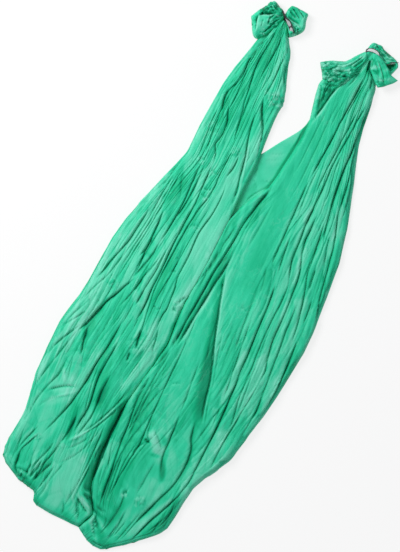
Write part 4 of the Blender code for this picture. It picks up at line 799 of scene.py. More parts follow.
        (215, -60, 44, 120, 14, 0.7), (110, -340, 56, 270, 2, 0.85), (230, -480, 40, 200, 6, 0.7),
        (215, -760, 66, 170, 0, 0.9), (120, -880, 74, 190, 0, 0.92), (340, -700, 40, 160, 0, 0.5),
        (120, -1080, 110, 80, 0, 0.95), (220, -980, 60, 110, 20, 0.8),
    ],
    "lightAndShade": [
        (190, 800, 60, 190, 0, 0.45), (180, 480, 62, 190, 0, 0.4), (170, 180, 66, 200, 0, 0.45),
        (128, 895, 26, 36, 0, 1.3), (134, 836, 14, 46, -14, 1.2), (232, 1036, 6, 40, -10, -1.1),
        (252, 1040, 9, 28, 12, 3.0), (212, 990, 22, 14, 30, 0.9), (131, 690, 6, 60, 0, 0.9),
        (192, 960, 6, 50, -28, -0.8), (232, 60, 50, 110, 10, 0.35), (205, -140, 46, 120, 16, 0.3),
        (300, 780, 26, 200, 0, 0.15), (262, 520, 20, 200, 0, 0.2), (345, 560, 46, 160, 10, 0.15),
        (300, 300, 26, 140, 0, 0.1), (400, 300, 46, 160, 14, 0.1), (460, 60, 30, 160, 6, 0.15),
        (325, 40, 26, 180, 0, -0.2), (345, -140, 40, 160, 4, -0.15), (395, -90, 26, 160, 4, 0.2),
        (40, 160, 26, 160, 6, 0.5), (22, -60, 26, 150, 6, 0.45), (72, 20, 16, 120, 4, 0.9),
        (100, -130, 36, 110, 10, -0.2), (112, -300, 46, 160, 4, 0.1), (50, -250, 18, 150, 6, 0.55),
        (205, -420, 36, 160, 10, 0.4), (285, -480, 30, 200, 4, 0.2), (410, -380, 30, 150, 0, 0.3),
        (480, -200, 20, 180, 0, 0.5), (340, -560, 26, 180, 0, -0.3), (390, -600, 26, 90, 0, 0.2),
        (20, -480, 28, 180, 0, 0.35), (-20, -600, 26, 130, 0, 0.5), (30, -850, 32, 180, 0, 0.55),
        (120, -500, 40, 120, 0, -0.1), (128, -640, 30, 30, 20, -0.9), (160, -700, 30, 40, 30, -0.5),
        (105, -740, 30, 70, 0, 0.35), (200, -720, 40, 60, 0, -0.3), (235, -760, 26, 110, 0, 0.35),
        (160, -880, 46, 90, 0, 0.1), (285, -760, 26, 110, 0, -0.2), (285, -900, 30, 90, 24, 0.4),
        (90, -1000, 50, 50, 0, 0.4), (40, -1075, 26, 40, 30, -0.7), (110, -1110, 50, 34, 0, 0.45),
        (200, -1020, 34, 70, 20, -0.25), (-30, -960, 26, 60, 0, 0.7), (20, -1020, 34, 24, 0, 0.7),
        (120, -110, 14, 80, 18, 0.9), (156, -240, 20, 90, 18, 1.3), (190, -350, 24, 90, 15, 1.6),
        (226, -470, 24, 90, 13, 1.3), (140, -98, 6, 90, 17, 0.5), (176, -220, 6, 90, 19, 0.6),
        (214, -335, 7, 90, 17, 0.7), (247, -450, 7, 90, 13, 0.7), (2, -330, 12, 60, 2, 1.0),
        (0, -230, 10, 60, 3, 0.8), (122, -694, 40, 28, -42, -0.5), (98, -662, 30, 12, -40, -0.3),
        (150, -704, 16, 18, -30, -0.3), (92, -686, 14, 6, -8, 2.2), (150, -650, 30, 12, -40, 0.7),
        (186, -716, 10, 46, 8, 1.0), (200, -768, 12, 36, 22, 2.5), (148, -722, 24, 8, 10, 1.0),
        (90, -610, 30, 14, -40, 0.5), (236, -950, 15, 130, -26, -0.9), (288, -935, 18, 70, -16, 1.1),
        (262, -1000, 14, 60, -30, 1.0), (225, -850, 16, 90, -6, -0.5), (74, -860, 14, 120, -4, 0.7),
        (122, -800, 26, 70, 0, 0.5), (176, -850, 30, 60, -10, -0.5), (104, -1000, 16, 60, -8, 0.8),
        (140, -1000, 14, 70, -6, -0.6), (166, -1060, 12, 50, -14, 0.5), (50, -1100, 26, 36, 34, 1.1),
        (58, -1106, 52, 7, -48, -1.1), (84, -1098, 44, 12, -44, 0.7), (112, -1140, 44, 10, 4, 1.0),
        (-46, -620, 12, 110, 5, 1.2), (-48, -790, 13, 100, 0, 1.3), (-38, -900, 20, 46, 0, 1.4),
        (16, -860, 10, 90, 6, 0.9), (4, -1022, 34, 8, -16, 1.3), (-18, -985, 14, 9, -20, -1.1),
        (292, -840, 14, 60, 14, 0.9), (84, -940, 50, 120, 0, 0.15), (66, -1060, 34, 10, -36, -0.9),
        (120, -1125, 40, 12, 8, 0.7),
    ],
    "patches": [
        (130, 892, 40, 6.0, 10), (134, 840, 26, 4.0, 10), (172, -915, 34, 4.0, 12),
        (100, -912, 26, 3.0, 12), (310, 980, 40, 2.4, 14), (298, -415, 18, 1.8, 9),
        (60, -1015, 40, 2.0, 22), (262, -535, 30, 1.0, 16), (215, -45, 46, 1.0, 20),
        (400, -350, 26, 0.8, 12), (150, 120, 120, 0.7, 60),
    ],
}
clothForm = {
    "columns": 172, "rowStep": 5.2, "bendFrom": -850.0, "endInner": -1116.0,
    "floor": 0.3, "outerRim": 25.0, "innerRim": 15.0, "narrowRim": 0.42, "rimColumns": 9,
    # thickness of the gathered cloth at places from the knots to the hem
    "plateau": [(1090, 33), (1000, 32), (900, 30), (700, 28), (540, 28), (300, 30), (0, 32),
                (-300, 34), (-640, 35), (-850, 33), (-1000, 29), (-1060, 24), (-1116, 18), (-1158, 15)],
    "crown": 3.0, "underLift": 20.0, "flowWidth": 330.0,
    # spacing, length, depth and sharpness of the small creases that run with the gathers
    "flow": [(36, 420, 2.2, 0.06), (21, 300, 1.6, 0.08), (12, 190, 0.9, 0.1)],
    "strips": [(25, 420, 4.2, 0.26), (11, 280, 1.8, 0.16)],      # width, length, height and tone
    # width, length, height and tone of painted light and shade
    "faces": [(46, 170, 5.5, 0.42), (19, 74, 2.2, 0.26)],
    "slantFrom": -440.0, "slant": (58, 92, 6.0, 0.26),           # the same of the seat's slanting faces
    # painted shade in the creases between the faces and the slanting faces, and how much painted light and
    # shade follows a face's lean to the lamp
    "faceShade": 0.16, "slantShade": 0.14, "leanTone": 0.62,
    "kink": (120.0, 70.0, 2.6),                 # length, width and size of the gathers' sideways jogs
    # folds of the layers along the outer edge: how far in, wander, its length, width, depth and shade
    "edgeFolds": [(5, 2.5, 60, 2.0, 3.0, 0.42), (14, 5, 90, 2.6, 2.2, 0.26)],
    # how much of its height the cloth loses at its inner lip, and how wide that fall is
    "lipDrop": [(1090, 1), (560, 1), (540, 0.9), (440, 0.75), (330, 0.55), (250, 0.32), (120, 0.2),
                (0, 0.22), (-80, 0.35), (-150, 0.95), (-330, 0.95), (-390, 0.6), (-450, 0.45),
                (-520, 0.85), (-600, 1), (-980, 1), (-1045, 0.9), (-1116, 0.6), (-1158, 0.6)],
    "lipWidth": [(1090, 1.2), (560, 1.1), (440, 0.8), (250, 0.5), (0, 0.4), (-80, 0.5),
                 (-160, 0.9), (-330, 0.9), (-400, 0.6), (-520, 1.1), (-700, 1.2), (-900, 1.5),
                 (-980, 1.5), (-1060, 1.0), (-1116, 0.8)],
    "webHeight": 5.4, "webReach": 26.0, "webFrom": 235.0,        # the web that the fronts lie on
}


def easeEdge(values):
    # takes the corners off an edge without moving its ends
    out = values.copy()
    for _ in range(3):
        out[1:-1] = 0.25 * out[:-2] + 0.5 * out[1:-1] + 0.25 * out[2:]
    return out


def halfGrid(half, innerIsRight):
    # columns from the left edge to the right one, rows from the neck down to the hem
    form = clothForm
    top, bend = half["outer"][0][0], form["bendFrom"]
    straight = np.arange(top, bend, -form["rowStep"])
    # one row lies on the line where the two blends meet
    nearest = straight[np.argmin(np.abs(straight))]
    straight = straight - nearest * smoothStep((top - straight) / top)
    lower = 0.9 + 0.1 * np.sin(np.linspace(0, math.pi / 2, 12))[1:]
    lower = np.r_[np.linspace(0, 0.9, 36), lower]
    edges = []
    for side, end in (("outer", half["endOuter"]), ("inner", form["endInner"])):
        y = np.r_[straight, bend + (end - bend) * lower]
        edges.append(np.stack([easeEdge(alongTable(half[side], y)), y], 1))
    low, high = edges if innerIsRight else edges[::-1]
    width = np.linalg.norm(high - low, axis=1)[:, None]
    turn = np.linspace(0, math.pi / 2, form["rimColumns"])
    rim = form["outerRim"] * (1 - np.cos(turn))[None, :]
    rim = rim * np.minimum(1.0, 0.3 * width / form["outerRim"])
    share = rim / width
    inside = np.linspace(0, 1, form["columns"])[None, 1:-1]
    middle = share[:, -1:] + (1 - 2 * share[:, -1:]) * inside
    u = np.concatenate([share, middle, 1 - share[:, ::-1]], axis=1)
    flat = low[:, None, :] * (1 - u[..., None]) + high[:, None, :] * u[..., None]
    # the rows bend more and more toward the hem's line
    hem = easeEdge(evenLine(half["hem"], 160))
    run = runAlong(hem)
    run = run / run[-1]
    chord = hem[0] * (1 - run[:, None]) + hem[-1] * run[:, None]
    pull = np.r_[np.zeros(len(straight)), smoothStep(lower) * 0.15 + 0.85 * lower]
    for k in range(2):
        off = np.interp(u.ravel(), run, (hem - chord)[:, k]).reshape(u.shape)
        flat[..., k] += pull[:, None] * off
    return flat[..., 0], flat[..., 1], u, int(np.argmin(np.abs(straight)))


def buildHalf(half, innerIsRight, names, seed, webTop):
    form = clothForm
    px, py, u, border = halfGrid(half, innerIsRight)
    outerLine = [(x, y) for y, x in half["outer"]] + half["hem"][::1 if innerIsRight else -1]
    innerLine = [(x, y) for y, x in half["inner"]]
    toOuter = np.abs(nearLine(px, py, evenLine(outerLine, 140))[0])
    toInner = np.abs(nearLine(px, py, evenLine(innerLine, 110))[0])
    width = np.hypot(np.diff(px[:, [0, -1]], axis=1), np.diff(py[:, [0, -1]], axis=1))
    lipWidth = form["innerRim"] * alongTable(form["lipWidth"], py)
    outerRound = roundRim(toOuter, np.minimum(form["outerRim"], form["narrowRim"] * width))
    innerRound = roundRim(toInner, np.minimum(lipWidth, form["narrowRim"] * width))
    # the fronts lie on the smooth web near the crotch, so their underside is higher there
    onWeb = form["webHeight"] * (1 - smoothStep((toInner - 4) / form["webReach"]))
    onWeb = onWeb * smoothStep((py - form["webFrom"]) / 30) * (1 - smoothStep((py - webTop) / 12))
    ground = form["floor"] + onWeb
    drop = alongTable(form["lipDrop"], py)
    height = alongTable(form["plateau"], py) * outerRound * (1 - drop * (1 - innerRound))
    height = height + form["crown"] * np.sin(np.pi * u) * outerRound
    height = np.maximum(height - (ground - form["floor"]), 0)

    long, wide, jog = form["kink"]
    kink = jog * softNoise(py / long, px / wide, seed + 61, True) * (0.4 + 0.6 * u * (1 - u) * 4)
    kink += 0.3 * jog * softNoise(py / (0.4 * long), px / (0.6 * wide), seed + 62, True)
    rise, lean, shade, tone = foldField(px + kink, py, half["folds"])
    across = (u - 0.5) * form["flowWidth"] + kink
    small, smallShade, smallTone = flowCreases(across, py, seed + 100, form["flow"])
    strip, stripShade, stripTone = pleatStrips(across, py, seed + 200, form["strips"])
    lively = np.clip(1 - spotField(px, py, half["calm"]), 0.08, 1)
    gathered = 0.3 + 0.7 * lively
    broken = np.zeros(px.shape)
    for n, (wide, long, high, toned) in enumerate(form["faces"]):
        face, crease, turned = facets(px / wide + 0.12 * py / wide, py / long + n, seed + 70 + n)
        broken += high * face
        shade = np.maximum(shade, form["faceShade"] * crease * gathered)
        tone = tone + toned * turned * gathered
    seatShare = smoothStep((form["slantFrom"] - py) / 160)
    wide, long, high, toned = form["slant"]
    face, crease, turned = facets((px + seed * 0.03 * py) / wide, (py - 0.4 * px) / long, seed + 75)
    broken += high * seatShare * face
    tone = tone + toned * seatShare * turned
    shade = np.maximum(shade, form["slantShade"] * seatShare * crease)
    wrinkled, wrinkleShade, wrinkleTone = crumple(px, py, half["patches"])
    rise = rise + lively * (small + strip) + (0.45 + 0.55 * lively) * broken + wrinkled
    rise = rise + gathered * ripples(px, py, seed)
    smallShade = lively * np.maximum(smallShade, stripShade)
    shade = np.maximum(shade, np.maximum(wrinkleShade, smallShade))
    tone = tone + wrinkleTone + lively * (smallTone + stripTone) + spotField(px, py, half["lightAndShade"])
    edgeShade = 0
    for n, (inward, wander, long, wide, deep, dark) in enumerate(form["edgeFolds"]):
        off = toOuter - inward - wander * softNoise(py / long, py * 0, seed + 7 + n)
        fold = np.exp(-(off / wide) ** 2)
        rise = rise - deep * fold
        edgeShade = edgeShade + dark * fold
    shade = np.maximum(shade, edgeShade)

    leaning = np.clip(np.minimum(toOuter, toInner) / 10.0, 0, 1) * np.clip(height / 15, 0, 1)
    top, rise = foldedTop(px, py, ground, height, rise, lean * leaning, 0.82, 12)
    pleats = form["underLift"] * (0.8 + 0.5 * softNoise(across / 22, py / 200, seed + 50)
                                  + 0.25 * softNoise(across / 9, py / 120, seed + 51))
    inward = smoothStep(np.minimum(toOuter / 40, (toInner - 6) / 40))
    lift = pleats * inward * np.clip(height / 30, 0, 1)
    under = spot(px, py, ground + np.maximum(lift, 0))
    under[..., 2] = np.minimum(under[..., 2], top[..., 2] - 0.5 * mm)
    shade, tone = clothMarks(px, py, rise, height, shade, tone, form["leanTone"])
    layers = top, under, clothUv(top, py), shade, tone, gathered
    parts = ((names[0], slice(0, border + 1), -1), (names[1], slice(border, None), 0))
    return [shellPiece(name, *(layer[rows] for layer in layers), sharp) for name, rows, sharp in parts]


leftUpper, leftLower = buildHalf(leftHalf, True, ("left_upper_cloth", "left_lower_cloth"), 11, 560)
rightUpper, rightLower = buildHalf(rightHalf, False, ("right_upper_cloth", "right_lower_cloth"), 23, 745)


def sideGrid(lines, rows, cols):
    # grid between four sides: upper and lower run left to right, left and right run down
    places, sides = {}, {}
    for side, count in (("upper", cols), ("lower", cols), ("left", rows), ("right", rows)):
        even, ease = np.linspace(0, 1, count), 0.5 - 0.5 * np.cos(np.linspace(0, math.pi, count))
        at = 0.45 * ease + 0.55 * even          # closer together near the rim
        line = evenLine(lines[side], count)
        sides[side] = np.stack([np.interp(at, even, line[:, k]) for k in (0, 1)], 1)
        places[side] = at
    u, v = places["upper"][None, :, None], places["left"][:, None, None]
    a, b, c, d = (sides[side] for side in ("upper", "lower", "left", "right"))
    corners = a[0] * (1 - u) * (1 - v) + a[-1] * u * (1 - v) + b[0] * (1 - u) * v + b[-1] * u * v
    grid = a[None] * (1 - v) + b[None] * v + c[:, None] * (1 - u) + d[:, None] * u - corners
    return grid[..., 0], grid[..., 1]


def buildPatch(name, piece, seed):
    lines = {side: roundedLine(piece[side], 4) for side in ("upper", "lower", "left", "right")}
    px, py = sideGrid(lines, piece["rows"], piece["cols"])
    # a side that runs on under the strap keeps its height
    rims = [line for side, line in lines.items() if side != piece.get("open")]
    edge = np.min([np.abs(nearLine(px, py, line)[0]) for line in rims], axis=0)
    low, height = (form(px, py) if callable(form) else form + 0 * px
                   for form in (piece["low"], piece["height"]))
    full = height * roundRim(edge, piece["rim"])
    rise, lean, shade, tone = foldField(px, py, piece["folds"])
    wrinkled, wrinkleShade, wrinkleTone = crumple(px, py, piece["patches"])
    rise = rise + wrinkled + piece["drape"] * ripples(px, py, seed, 60.0)
    shade = np.maximum(shade, wrinkleShade)
    tone = tone + spotField(px, py, piece["lightAndShade"]) + wrinkleTone
    top, rise = foldedTop(px, py, low, full, rise, lean * np.clip(edge / 10, 0, 1), 0.75, 10)
    shade, tone = clothMarks(px, py, rise, full, shade, tone, 0.8)
    # soft hollows in the underside, away from its rim
    sag = np.clip(3.2 + 4.5 * ripples(px, py, seed + 7, 40.0), 0, 9)
    sag = sag * smoothStep(edge / 16) * np.clip(full / 24, 0, 1)
    under = spot(px, py, np.minimum(low + sag, top[..., 2] / mm - 1.0))
    gathered = np.full(px.shape, piece["drape"])
    return shellPiece(name, top, under, clothUv(top, py), shade, tone, gathered)


print("stage: web and knots")

webPiece = {
    "rows": 90, "cols": 60, "rim": 5.0, "low": 0.2, "height": 4.2, "drape": 0.25,
    "upper": [(126, 752), (129, 754), (133, 752)],
    "lower": [(-14, 262), (4, 258), (22, 262)],
    "left": [(126, 752), (121, 724), (108, 694), (86, 660), (56, 616), (20, 558), (2, 530), (-8, 480),
             (-14, 400), (-16, 320), (-14, 262)],
    "right": [(133, 752), (150, 700), (146, 640), (138, 560), (130, 500), (118, 440), (92, 380),
              (62, 330), (40, 290), (22, 262)],
    # painted light and shade; the first four paint the shadow along the leg's edge where it lies over the
    # web
    "lightAndShade": [
        (124, 700, 8, 50, -2, 2.2), (118, 620, 8, 64, -5, 2.2), (108, 530, 8, 64, -7, 2.2),
        (96, 450, 8, 36, -14, 2.0), (108, 668, 26, 44, -30, -0.5), (26, 500, 18, 50, 0, 0.5),
        (70, 560, 30, 40, -40, -0.35), (60, 450, 40, 16, -30, 0.25), (100, 600, 14, 60, 0, 0.2),
        (34, 380, 20, 60, -16, 0.5),
    ],
    "folds": [
        (5, 4, 0.4, 100, 452, 84, 430, 66, 406, 48, 376, 34, 340),
        (3, 4, 0.3, 112, 476, 92, 462, 72, 456, 50, 458),
        (1.6, 6, 0.2, 20, 500, 24, 470, 30, 440),
        (1.6, 5, 0.2, 35, 560, 70, 572, 104, 590),
        (1.4, 5, 0.2, 30, 530, 66, 545, 100, 556),
        (2.0, 5, 0.3, 118, 700, 122, 660, 118, 620),
        (2.0, 5, 0.2, 22, 500, 20, 470, 22, 452),
        (1.6, 6, 0.2, 60, 400, 50, 420, 30, 440, 10, 450),
    ],
    "patches": [
        (60, 540, 60, 0.8, 24), (24, 420, 40, 0.7, 20),
    ],
}

leftRoll = {
    "rows": 72, "cols": 68, "rim": 15.0, "low": 0.4, "drape": 0.8,
    # lowest where the leg lies over it
    "height": lambda x, y: 50.0 - 15.0 * smoothStep(1 + (x + 196 - 0.509 * (y - 956)) / 44.0),
    "upper": [(-206, 1121), (-186, 1115), (-168, 1105), (-150, 1092)],
    "lower": [(-246, 999), (-236, 978), (-222, 959), (-208, 953), (-196, 956)],
    "left": [(-206, 1121), (-222, 1096), (-242, 1066), (-258, 1034), (-262, 1024), (-246, 999)],
    "right": [(-150, 1092), (-138, 1070), (-146, 1040), (-160, 1006), (-176, 978), (-196, 956)],
    "folds": [
        (13, 6, 0.5, -240, 1085, -232, 1066, -229, 1048, -236, 1034),
        (11, 5, 0.5, -236, 1074, -222, 1062, -206, 1058, -194, 1064, -182, 1060),
        (9, 5, 0.3, -212, 1112, -206, 1092, -186, 1076, -160, 1070),
        (10, 5, 0.4, -214, 1102, -200, 1098, -182, 1090, -162, 1086),
        (13, 4, 0.9, -242, 1040, -216, 1052, -192, 1064, -172, 1074),
        (10, 5, 0.4, -150, 1064, -164, 1044, -178, 1026),
        (9, 5, 0.4, -156, 1046, -172, 1024, -184, 1000),
        (8, 4, 0.4, -166, 1024, -180, 1002, -192, 980),
        (10, 5, 0.5, -176, 1072, -186, 1052, -186, 1030),
        (8, 4, 0.4, -192, 1056, -190, 1036, -184, 1016),
        (11, 4, -0.5, -238, 1046, -233, 1012, -226, 990, -218, 970),
        (5, 4, 0.3, -214, 1036, -210, 1014, -206, 996),
        (5, 4, 0.2, -246, 1016, -236, 996),
        (-4, 4, 0, -222, 1108, -204, 1104, -186, 1100),
    ],
    "lightAndShade": [
        (-228, 1080, 12, 26, -30, 0.9), (-196, 1078, 22, 12, 10, 0.5), (-208, 1014, 22, 36, -10, -0.3),
        (-206, 1066, 30, 6, 24, 1.1), (-164, 1034, 14, 44, -26, 0.9), (-180, 1096, 22, 8, -20, 0.5),
        (-196, 964, 14, 10, 0, 0.8),
    ],
    "patches": [
        (-190, 1082, 50, 7.0, 10), (-228, 1068, 26, 5.0, 10), (-172, 1032, 30, 6.0, 10),
        (-212, 1000, 36, 1.0, 16), (-190, 984, 22, 4.0, 9),
    ],
}

leftLoop = {
    "rows": 64, "cols": 60, "rim": 14.0, "low": 2.8, "height": 42.0, "drape": 0.7,
    "upper": [(-135, 1128), (-130, 1133), (-110, 1134), (-84, 1134), (-64, 1132), (-58, 1128)],
    "lower": [(-144, 1080), (-131, 1066), (-114, 1048), (-100, 1030), (-90, 1012)],
    "left": [(-135, 1128), (-141, 1114), (-143, 1098), (-144, 1080)],
    "right": [(-58, 1128), (-55, 1102), (-46, 1070), (-54, 1048), (-72, 1027), (-90, 1012)],
    "open": "lower",
    "folds": [
        (12, 4, 0.4, -134, 1128, -112, 1112, -92, 1100, -72, 1088),
        (10, 4, 0.3, -138, 1110, -120, 1100, -102, 1092, -84, 1088),
        (9, 4, 0.3, -108, 1134, -92, 1122, -78, 1112, -60, 1102),
        (9, 5, 0.4, -136, 1092, -120, 1080, -100, 1076, -80, 1074, -62, 1066),
        (11, 6, 0.5, -78, 1056, -68, 1046, -62, 1036, -66, 1028),
        (9, 5, 0.4, -92, 1062, -82, 1050, -78, 1034, -84, 1020),
        (6, 4, 0.3, -106, 1068, -86, 1064, -66, 1052, -54, 1050),
        (-4, 4, 0, -126, 1116, -104, 1104, -82, 1094),
        (-4, 4, 0, -96, 1068, -78, 1064, -60, 1060),
    ],
    "lightAndShade": [
        (-128, 1112, 10, 20, 20, 0.7), (-84, 1112, 24, 14, -24, -0.4), (-66, 1080, 12, 20, 0, -0.5),
        (-78, 1036, 10, 20, -30, 0.6), (-70, 1060, 14, 8, -20, -0.6), (-110, 1088, 30, 6, -14, 0.4),
    ],
    "patches": [
        (-76, 1044, 34, 4.6, 9), (-104, 1104, 50, 2.6, 15),
    ],
}

rightRoll = {
    "rows": 84, "cols": 72, "rim": 18.0, "low": 0.4, "height": 49.0, "drape": 0.8,
    "upper": [(66, 978), (100, 1001), (140, 1018), (160, 1030), (184, 1062), (206, 1090), (216, 1098)],
    "lower": [(102, 922), (134, 916), (170, 914), (188, 940), (206, 968), (224, 1000), (238, 1040)],
    "left": [(66, 978), (76, 962), (88, 946), (102, 922)],
    "right": [(216, 1098), (226, 1090), (234, 1070), (238, 1040)],
    "folds": [
        (8, 4, 0.3, 206, 1084, 190, 1056, 172, 1028, 156, 1008, 138, 992),
        (10, 4, 0.3, 214, 1076, 200, 1048, 184, 1020, 168, 996),
        (9, 5, 0.3, 222, 1070, 212, 1044, 198, 1020, 192, 1004),
        (8, 5, 0.3, 232, 1064, 224, 1036, 212, 1016, 206, 1000),
        (7, 5, 0.3, 160, 1012, 140, 1000, 118, 990, 96, 984),
        (8, 5, 0.3, 196, 990, 172, 984, 150, 974, 130, 966, 110, 962),
        (7, 4, 0.3, 204, 972, 180, 966, 156, 958, 134, 950),
        (9, 5, 0.4, 104, 930, 128, 928, 152, 926, 172, 922),
        (7, 4, 0.3, 88, 968, 104, 956, 122, 946, 146, 940),
        (6, 4, 0.2, 98, 980, 116, 968, 134, 958),
        (6, 4, 0.2, 108, 950, 104, 938, 106, 926),
        (-5, 4, 0, 186, 1036, 166, 1008, 148, 990),
        (-4, 4, 0, 210, 1060, 196, 1032, 184, 1010),
        (-4, 4, 0, 190, 978, 160, 966, 128, 954),
    ],
    "lightAndShade": [
        (110, 952, 26, 16, -20, 0.5), (150, 950, 34, 14, 30, 0.5), (206, 1000, 12, 30, -30, 0.8),
        (150, 1006, 34, 8, 30, -0.5), (196, 1050, 8, 40, -32, -0.6), (222, 1050, 8, 34, -20, 0.9),
        (130, 924, 36, 8, 0, 0.9), (92, 978, 20, 10, 30, -0.4),
    ],
    "patches": [
        (142, 960, 60, 8.0, 9), (200, 992, 36, 7.0, 9), (96, 962, 38, 7.0, 8), (130, 930, 42, 7.0, 8),
        (180, 950, 34, 7.0, 8), (200, 1050, 30, 3.0, 9),
    ],
}

rightTail = {
    "rows": 56, "cols": 60, "rim": 9.0, "drape": 0.5,
    "low": lambda x, y: 34.4 - 9.0 * smoothStep((x - 318) / 60.0),
    "height": lambda x, y: 15.5 - 3.0 * smoothStep((x - 320) / 60.0),
    "upper": [(238, 1096), (252, 1102), (268, 1099), (300, 1084), (326, 1066), (342, 1052), (377, 1043)],
    "lower": [(243, 1082), (248, 1062), (258, 1036), (270, 1022), (290, 1002), (304, 990), (316, 982)],
    "left": [(238, 1096), (240, 1090), (243, 1082)],
    "right": [(377, 1043), (366, 1026), (350, 1010), (334, 994), (316, 982)],
    "folds": [
        (6, 4, 0.3, 258, 1090, 276, 1074, 296, 1054, 314, 1034, 330, 1012, 338, 1000),
        (3, 4, 0.2, 266, 1094, 288, 1082, 312, 1062, 330, 1042, 346, 1022),
        (8, 6, 0.4, 244, 1080, 250, 1058, 258, 1036),
        (5, 5, 0.3, 256, 1074, 276, 1056, 294, 1034, 306, 1012),
        (6, 5, 0.3, 262, 1028, 276, 1034, 290, 1030, 300, 1020),
        (5, 4, 0.3, 306, 1022, 318, 1018, 328, 1012, 336, 1004),
        (4, 4, 0.2, 304, 1006, 312, 998, 320, 990),
        (-3, 4, 0, 262, 1086, 284, 1064, 304, 1040, 322, 1014),
    ],
    "lightAndShade": [
        (274, 1050, 9, 30, -42, -1.0), (308, 1054, 7, 38, -46, -0.9), (250, 1052, 6, 28, -14, 1.0),
        (278, 1029, 20, 5, -6, 1.3), (330, 1042, 8, 34, -46, 0.5), (292, 1040, 6, 30, -44, 0.7),
        (350, 1030, 14, 14, -40, -0.5), (324, 998, 16, 10, 40, 0.6),
    ],
    "patches": [
        (316, 1006, 28, 4.6, 9), (344, 1024, 26, 2.4, 10), (282, 1060, 34, 2.4, 12),
    ],
}

# the open bight of the right knot: its band, and the far layer of cloth that shows inside its eye
eyeOpening = [(302, 1080), (318, 1090), (334, 1099), (345, 1100), (349, 1088), (344, 1072), (336, 1062),
              (320, 1068), (302, 1080)]


def eyeDepth(x, y):
    # 1 well inside the eye, 0 on the band
    ring = np.array(eyeOpening, float)
    inside = np.zeros(x.shape, bool)
    for (ax, ay), (bx, by) in zip(ring[:-1], ring[1:]):
        crossed = (ay > y) != (by > y)
        inside ^= crossed & (x < (bx - ax) * (y - ay) / (by - ay if by != ay else 1e-9) + ax)
    away = np.abs(nearLine(x, y, ring)[0])
    return np.where(inside, smoothStep(away / 5.0), 0.0)


rightBight = {
    "rows": 72, "cols": 110, "rim": 10.0, "low": 1.0, "drape": 0.8,
    "height": lambda x, y: 33.0 - 4.0 * smoothStep((x - 270) / 80.0) - 21.0 * eyeDepth(x, y),
    "upper": [(219, 1134), (228, 1141), (248, 1143), (264, 1142), (274, 1135), (290, 1130), (308, 1125),
              (326, 1120), (341, 1114), (352, 1103)],
    "lower": [(216, 1096), (238, 1100), (258, 1096), (280, 1080), (300, 1066), (320, 1054), (342, 1048)],
    "left": [(219, 1134), (215, 1120), (214, 1106), (216, 1096)],
    "right": [(352, 1103), (356, 1092), (352, 1078), (347, 1062), (342, 1048)],
    "folds": [
        (8, 5, 0.4, 232, 1140, 244, 1130, 262, 1122, 280, 1120),
        (9, 5, 0.5, 266, 1141, 272, 1130, 284, 1122, 302, 1114, 322, 1110),
        (7, 4, 0.3, 240, 1120, 262, 1116, 286, 1106, 306, 1100, 330, 1106, 344, 1108),
        (8, 4, 0.4, 262, 1110, 282, 1100, 300, 1090, 314, 1090),
        (6, 4, 0.3, 284, 1126, 304, 1118, 326, 1114, 340, 1110),
        (7, 4, 0.4, 218, 1124, 232, 1118, 246, 1112),
        (10, 6, 0.4, 308, 1080, 322, 1078, 336, 1074),
        (8, 5, 0.3, 318, 1088, 332, 1088, 344, 1086),
        (-3, 4, 0, 250, 1126, 276, 1116, 300, 1108),
    ],
    # painted light and shade; the first paints deep shade on the far layer inside the eye
    "lightAndShade": [
        (326, 1082, 22, 14, 10, 2.2), (240, 1130, 20, 10, 0, -0.3), (276, 1112, 26, 6, -20, 0.5),
        (300, 1104, 26, 6, -16, -0.5), (350, 1088, 5, 20, 0, -0.4), (232, 1110, 22, 5, 0, 0.8),
    ],
    "patches": [
        (246, 1124, 34, 4.2, 10), (296, 1112, 44, 4.4, 10),
    ],
}


neckForm = {
    # x, y, z, breadth and height along the bunch; angle, depth and width of each flute down it
    "line": [(238, 1066, 22, 40, 34), (239, 1084, 24, 50, 42), (240, 1100, 26, 54, 44),
             (241, 1110, 24, 50, 40), (242, 1120, 20, 42, 30)],
    "flutes": [(50, 6, 0.12), (90, 5, 0.1), (125, 6, 0.12), (75, 3, 0.08), (155, 4, 0.1)],
    "rows": 40, "around": 72, "square": 0.82, "bulge": 0.05, "endReach": 9.0,
}


def turnedOut(thing):
    # operators work on what is selected, so only this piece is
    bpy.ops.object.select_all(action="DESELECT")
    thing.select_set(True)
    bpy.context.view_layer.objects.active = thing
    bpy.ops.object.mode_set(mode="EDIT")
    bpy.ops.mesh.select_all(action="SELECT")
    bpy.ops.mesh.normals_make_consistent(inside=False)
    bpy.ops.object.mode_set(mode="OBJECT")
    return thing


def tubeFaces(rows, around, closed):
    # four-cornered faces from ring to ring, and back to the first ring where the tube is closed
    n, k = np.indices((rows if closed else rows - 1, around))
    ahead, beside = (n + 1) % rows * around, (k + 1) % around
    faces = np.stack([n * around + k, ahead + k, ahead + beside, n * around + beside], -1)
    return faces.reshape(-1, 4).tolist()


